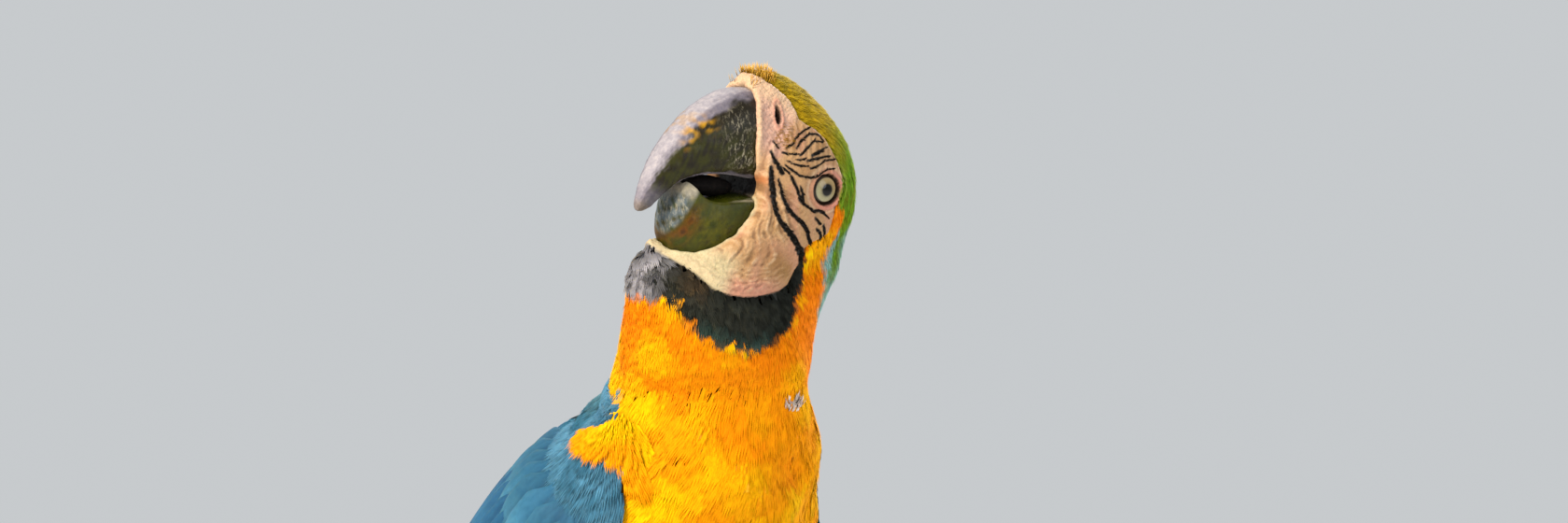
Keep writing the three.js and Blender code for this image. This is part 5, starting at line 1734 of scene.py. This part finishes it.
def wetEye():
    made, tree, out = material("wet eye")  # clear cornea over a pale iris, so one sharp highlight
    away = node(tree, "Attribute", attribute_name="fromPupil").outputs["Fac"]
    high = node(tree, "Attribute", attribute_name="upward").outputs["Fac"]
    share = node(tree, "Math", {0: away, 1: 8.0}, operation="DIVIDE").outputs[0]
    grey = node(tree, "ValToRGB", {"Fac": share},
                [(0.0, "#020202"), (0.27, "#030303"), (0.295, "#4a4636"), (0.36, "#807a5e"),
                 (0.48, "#97916f"),
                 (0.58, "#a29c7c"), (0.62, "#2c1f14"), (0.74, "#140d08")])
    tan = node(tree, "ValToRGB", {"Fac": share},
               [(0.0, "#020202"), (0.27, "#030303"), (0.295, "#4a3c28"), (0.36, "#86704a"), (0.48, "#9d8458"),
                (0.58, "#a68e64"), (0.62, "#2c1f14"), (0.74, "#140d08")])
    tone = node(tree, "Mix", {0: high, 6: grey.outputs["Color"], 7: tan.outputs["Color"]}, data_type="RGBA")
    coords = node(tree, "TexCoord").outputs["Object"]
    fibres = node(tree, "TexNoise", {"Vector": coords, "Scale": perMetre(0.7), "Detail": 2.0})
    mixed = node(tree, "Mix", {0: 0.25, 6: tone.outputs[2], 7: fibres.outputs["Fac"]}, data_type="RGBA",
                 blend_type="OVERLAY")
    shader = node(tree, "BsdfPrincipled", {"Base Color": mixed.outputs[2], "Roughness": 0.2,
                                           "Specular IOR Level": 0.05, "Coat Weight": 0.45,
                                           "Coat Roughness": 0.02})
    tree.links.new(shader.outputs[0], out.inputs["Surface"])
    return made


glass = wetEye()
for side in (1, -1):
    makeEye(side).data.materials.append(glass)
print("eyes made")


# feet: the CAD feet made round again, with scutes
def makeFeet():
    obj = remeshed(copyOf("feet_skin", "foot_left", "foot_right"), 0.9, 4)
    points = pointsOf(obj.data)
    local = toBody(points)
    angle = np.degrees(np.arctan2(local[:, 2], local[:, 0]))
    reach = np.hypot(local[:, 0], local[:, 2])
    outer = ease(reach, 21, 25) * (local[:, 2] < 34)
    ridges = np.abs(np.sin(np.radians(angle * 13)))
    shank = ease(local[:, 2], 30, 36)
    rings = np.abs(np.sin(local[:, 2] * 1.15))
    lift = 0.35 * (ridges - 0.5) * outer + 0.3 * (rings - 0.5) * shank + 0.12 * ripple(points, 3, 41)
    setPoints(obj.data, points + normalsOf(obj.data) * lift[:, None])
    obj.data.shade_smooth()
    groove = np.clip(1 - (ridges * outer + rings * shank), 0, 1)
    setColours(obj.data, "marking", mixColours(hexColour("#5b5a5e"), hexColour("#37363a"), groove))
    return obj


def toeSkin():
    made, tree, out = material("scaly toe skin")  # dull grey, dry, with darker grooves
    coords = node(tree, "TexCoord").outputs["Object"]
    paint = node(tree, "Attribute", attribute_name="marking").outputs["Color"]
    cells = node(tree, "TexVoronoi", {"Vector": coords, "Scale": perMetre(1.4)}, feature="DISTANCE_TO_EDGE")
    shade = node(tree, "ValToRGB", {"Fac": cells.outputs["Distance"]}, [(0.0, "#505050"), (0.25, "#9c9c9c")])
    tone = node(tree, "Mix", {0: 0.35, 6: paint, 7: shade.outputs["Color"]}, data_type="RGBA",
                blend_type="OVERLAY")
    bump = node(tree, "Bump", {"Height": cells.outputs["Distance"], "Strength": 0.5, "Distance": 0.0004})
    shader = node(tree, "BsdfPrincipled", {"Base Color": tone.outputs[2], "Roughness": 0.62,
                                           "Normal": bump.outputs[0]})
    tree.links.new(shader.outputs[0], out.inputs["Surface"])
    return made


feet = makeFeet()
feet.data.materials.append(toeSkin())
place(feet, instead=("foot_left", "foot_right"))


def clawHorn():
    made, tree, out = material("claw horn")  # near black, smooth and glossy, paler streaks along the curve
    coords = node(tree, "TexCoord").outputs["Object"]
    streaks = node(tree, "TexNoise", {"Vector": coords, "Scale": perMetre(3), "Detail": 4.0})
    tone = node(tree, "ValToRGB", {"Fac": streaks.outputs["Fac"]}, [(0.35, "#121110"), (0.7, "#34302c")])
    rough = node(tree, "MapRange", {"Value": streaks.outputs["Fac"], "To Min": 0.2, "To Max": 0.42})
    shader = node(tree, "BsdfPrincipled",
                  {"Base Color": tone.outputs["Color"], "Roughness": rough.outputs[0]})
    tree.links.new(shader.outputs[0], out.inputs["Surface"])
    return made


def makeClaws():  # the CAD claws, made round
    names = [name for name in nodes if name.startswith("claw_")]
    obj = remeshed(copyOf("claws", *names), 0.45, 3)
    obj.data.shade_smooth()
    obj.data.materials.clear()
    obj.data.materials.append(clawHorn())
    return place(obj, instead=names)


claws = makeClaws()
print("feet and claws made:", len(feet.data.polygons) + len(claws.data.polygons), "faces")

# the branch and the stand
branch = {"voxel": 1.5, "ridges": 21, "bark": 0.7}


def makeBranch():
    obj = remeshed(copyOf("branch_bark", "perch_branch"), branch["voxel"], 2)
    points = pointsOf(obj.data)
    local = toBody(points)
    angle = np.arctan2(local[:, 0], local[:, 2] + 0.01)
    ends = np.abs(local[:, 1])
    onBark = ease(ends, ends.max() - 0.4, ends.max() - 1.6)
    twist = angle * branch["ridges"] + 1.3 * ripple(points, 30, 71) + 1.1 * ripple(points, 11, 76)
    fissures = np.abs(np.sin(twist / 2)) ** 0.45
    lift = (fissures - 0.8) * branch["bark"] + 0.3 * ripple(points, 8, 72) + 0.15 * ripple(points, 3.4, 73)
    gripped = ease(np.abs(np.abs(local[:, 1]) - 30.5), 22, 15)  # the toes have rubbed the bark smooth here
    lift = lift * onBark * (1 - 0.85 * gripped) - 0.25 * onBark
    rings = np.sin(np.hypot(local[:, 0], local[:, 2]) * 1.25 + 0.5 * ripple(points, 20, 74))
    lift += 0.12 * rings * (1 - onBark)
    setPoints(obj.data, points + normalsOf(obj.data) * lift[:, None])
    obj.data.shade_smooth()
    bark = mixColours(hexColour("#3a2d22"), hexColour("#77654f"), ease(fissures, 0.25, 0.8))
    bark = mixColours(bark, hexColour("#9a9384"), 0.5 * ease(ripple(points, 26, 75), 0.1, 0.8))
    bark = mixColours(bark, hexColour("#a08058"), 0.6 * gripped * ease(local[:, 2], 0, 14))
    cut = mixColours(hexColour("#cfae7c"), hexColour("#a57f4e"), ease(rings, -0.2, 0.9))
    setColours(obj.data, "marking", mixColours(cut, bark, onBark))
    return obj


def roughBark():
    made, tree, out = material("branch bark")  # dry, fissured and matt, with pale sawn ends
    coords = node(tree, "TexCoord").outputs["Object"]
    paint = node(tree, "Attribute", attribute_name="marking").outputs["Color"]
    flakes = node(tree, "TexNoise", {"Vector": coords, "Scale": perMetre(4), "Detail": 6.0,
                                     "Roughness": 0.65})
    cracks = node(tree, "TexVoronoi", {"Vector": coords, "Scale": perMetre(7)}, feature="DISTANCE_TO_EDGE")
    tone = node(tree, "Mix", {0: 0.6, 6: paint, 7: flakes.outputs["Color"]}, data_type="RGBA",
                blend_type="OVERLAY")
    height = node(tree, "Math", {0: flakes.outputs["Fac"], 1: cracks.outputs["Distance"]}, operation="ADD")
    bump = node(tree, "Bump", {"Height": height.outputs[0], "Strength": 0.6, "Distance": 0.001})
    rough = node(tree, "MapRange", {"Value": flakes.outputs["Fac"], "To Min": 0.7, "To Max": 0.95})
    shader = node(tree, "BsdfPrincipled", {"Base Color": tone.outputs[2], "Roughness": rough.outputs[0],
                                           "Normal": bump.outputs[0]})
    tree.links.new(shader.outputs[0], out.inputs["Surface"])
    return made


bark = makeBranch()
bark.data.materials.clear()
bark.data.materials.append(roughBark())
place(bark, instead=("perch_branch",))
print("branch made:", len(bark.data.polygons), "faces")


def standEnamel():
    # soft highlights, faint orange peel, fine dust
    made, tree, out = material("satin off-white enamel on aluminium")
    coords = node(tree, "TexCoord").outputs["Object"]
    peel = node(tree, "TexNoise", {"Vector": coords, "Scale": perMetre(3), "Detail": 2.0})
    dust = node(tree, "TexNoise", {"Vector": coords, "Scale": perMetre(60), "Detail": 6.0})
    tone = node(tree, "ValToRGB", {"Fac": dust.outputs["Fac"]}, [(0.35, "#e2dfd8"), (0.7, "#d3d0c8")])
    rough = node(tree, "MapRange", {"Value": dust.outputs["Fac"], "To Min": 0.3, "To Max": 0.46})
    bump = node(tree, "Bump", {"Height": peel.outputs["Fac"], "Strength": 0.08, "Distance": 0.0005})
    shader = node(tree, "BsdfPrincipled", {"Base Color": tone.outputs["Color"], "Roughness": rough.outputs[0],
                                           "Normal": bump.outputs[0]})
    tree.links.new(shader.outputs[0], out.inputs["Surface"])
    return made


enamel = standEnamel()
for name in ("stand_base", "stand_rod"):
    for slot in nodes[name].material_slots:
        slot.material = enamel
print("stand finished")
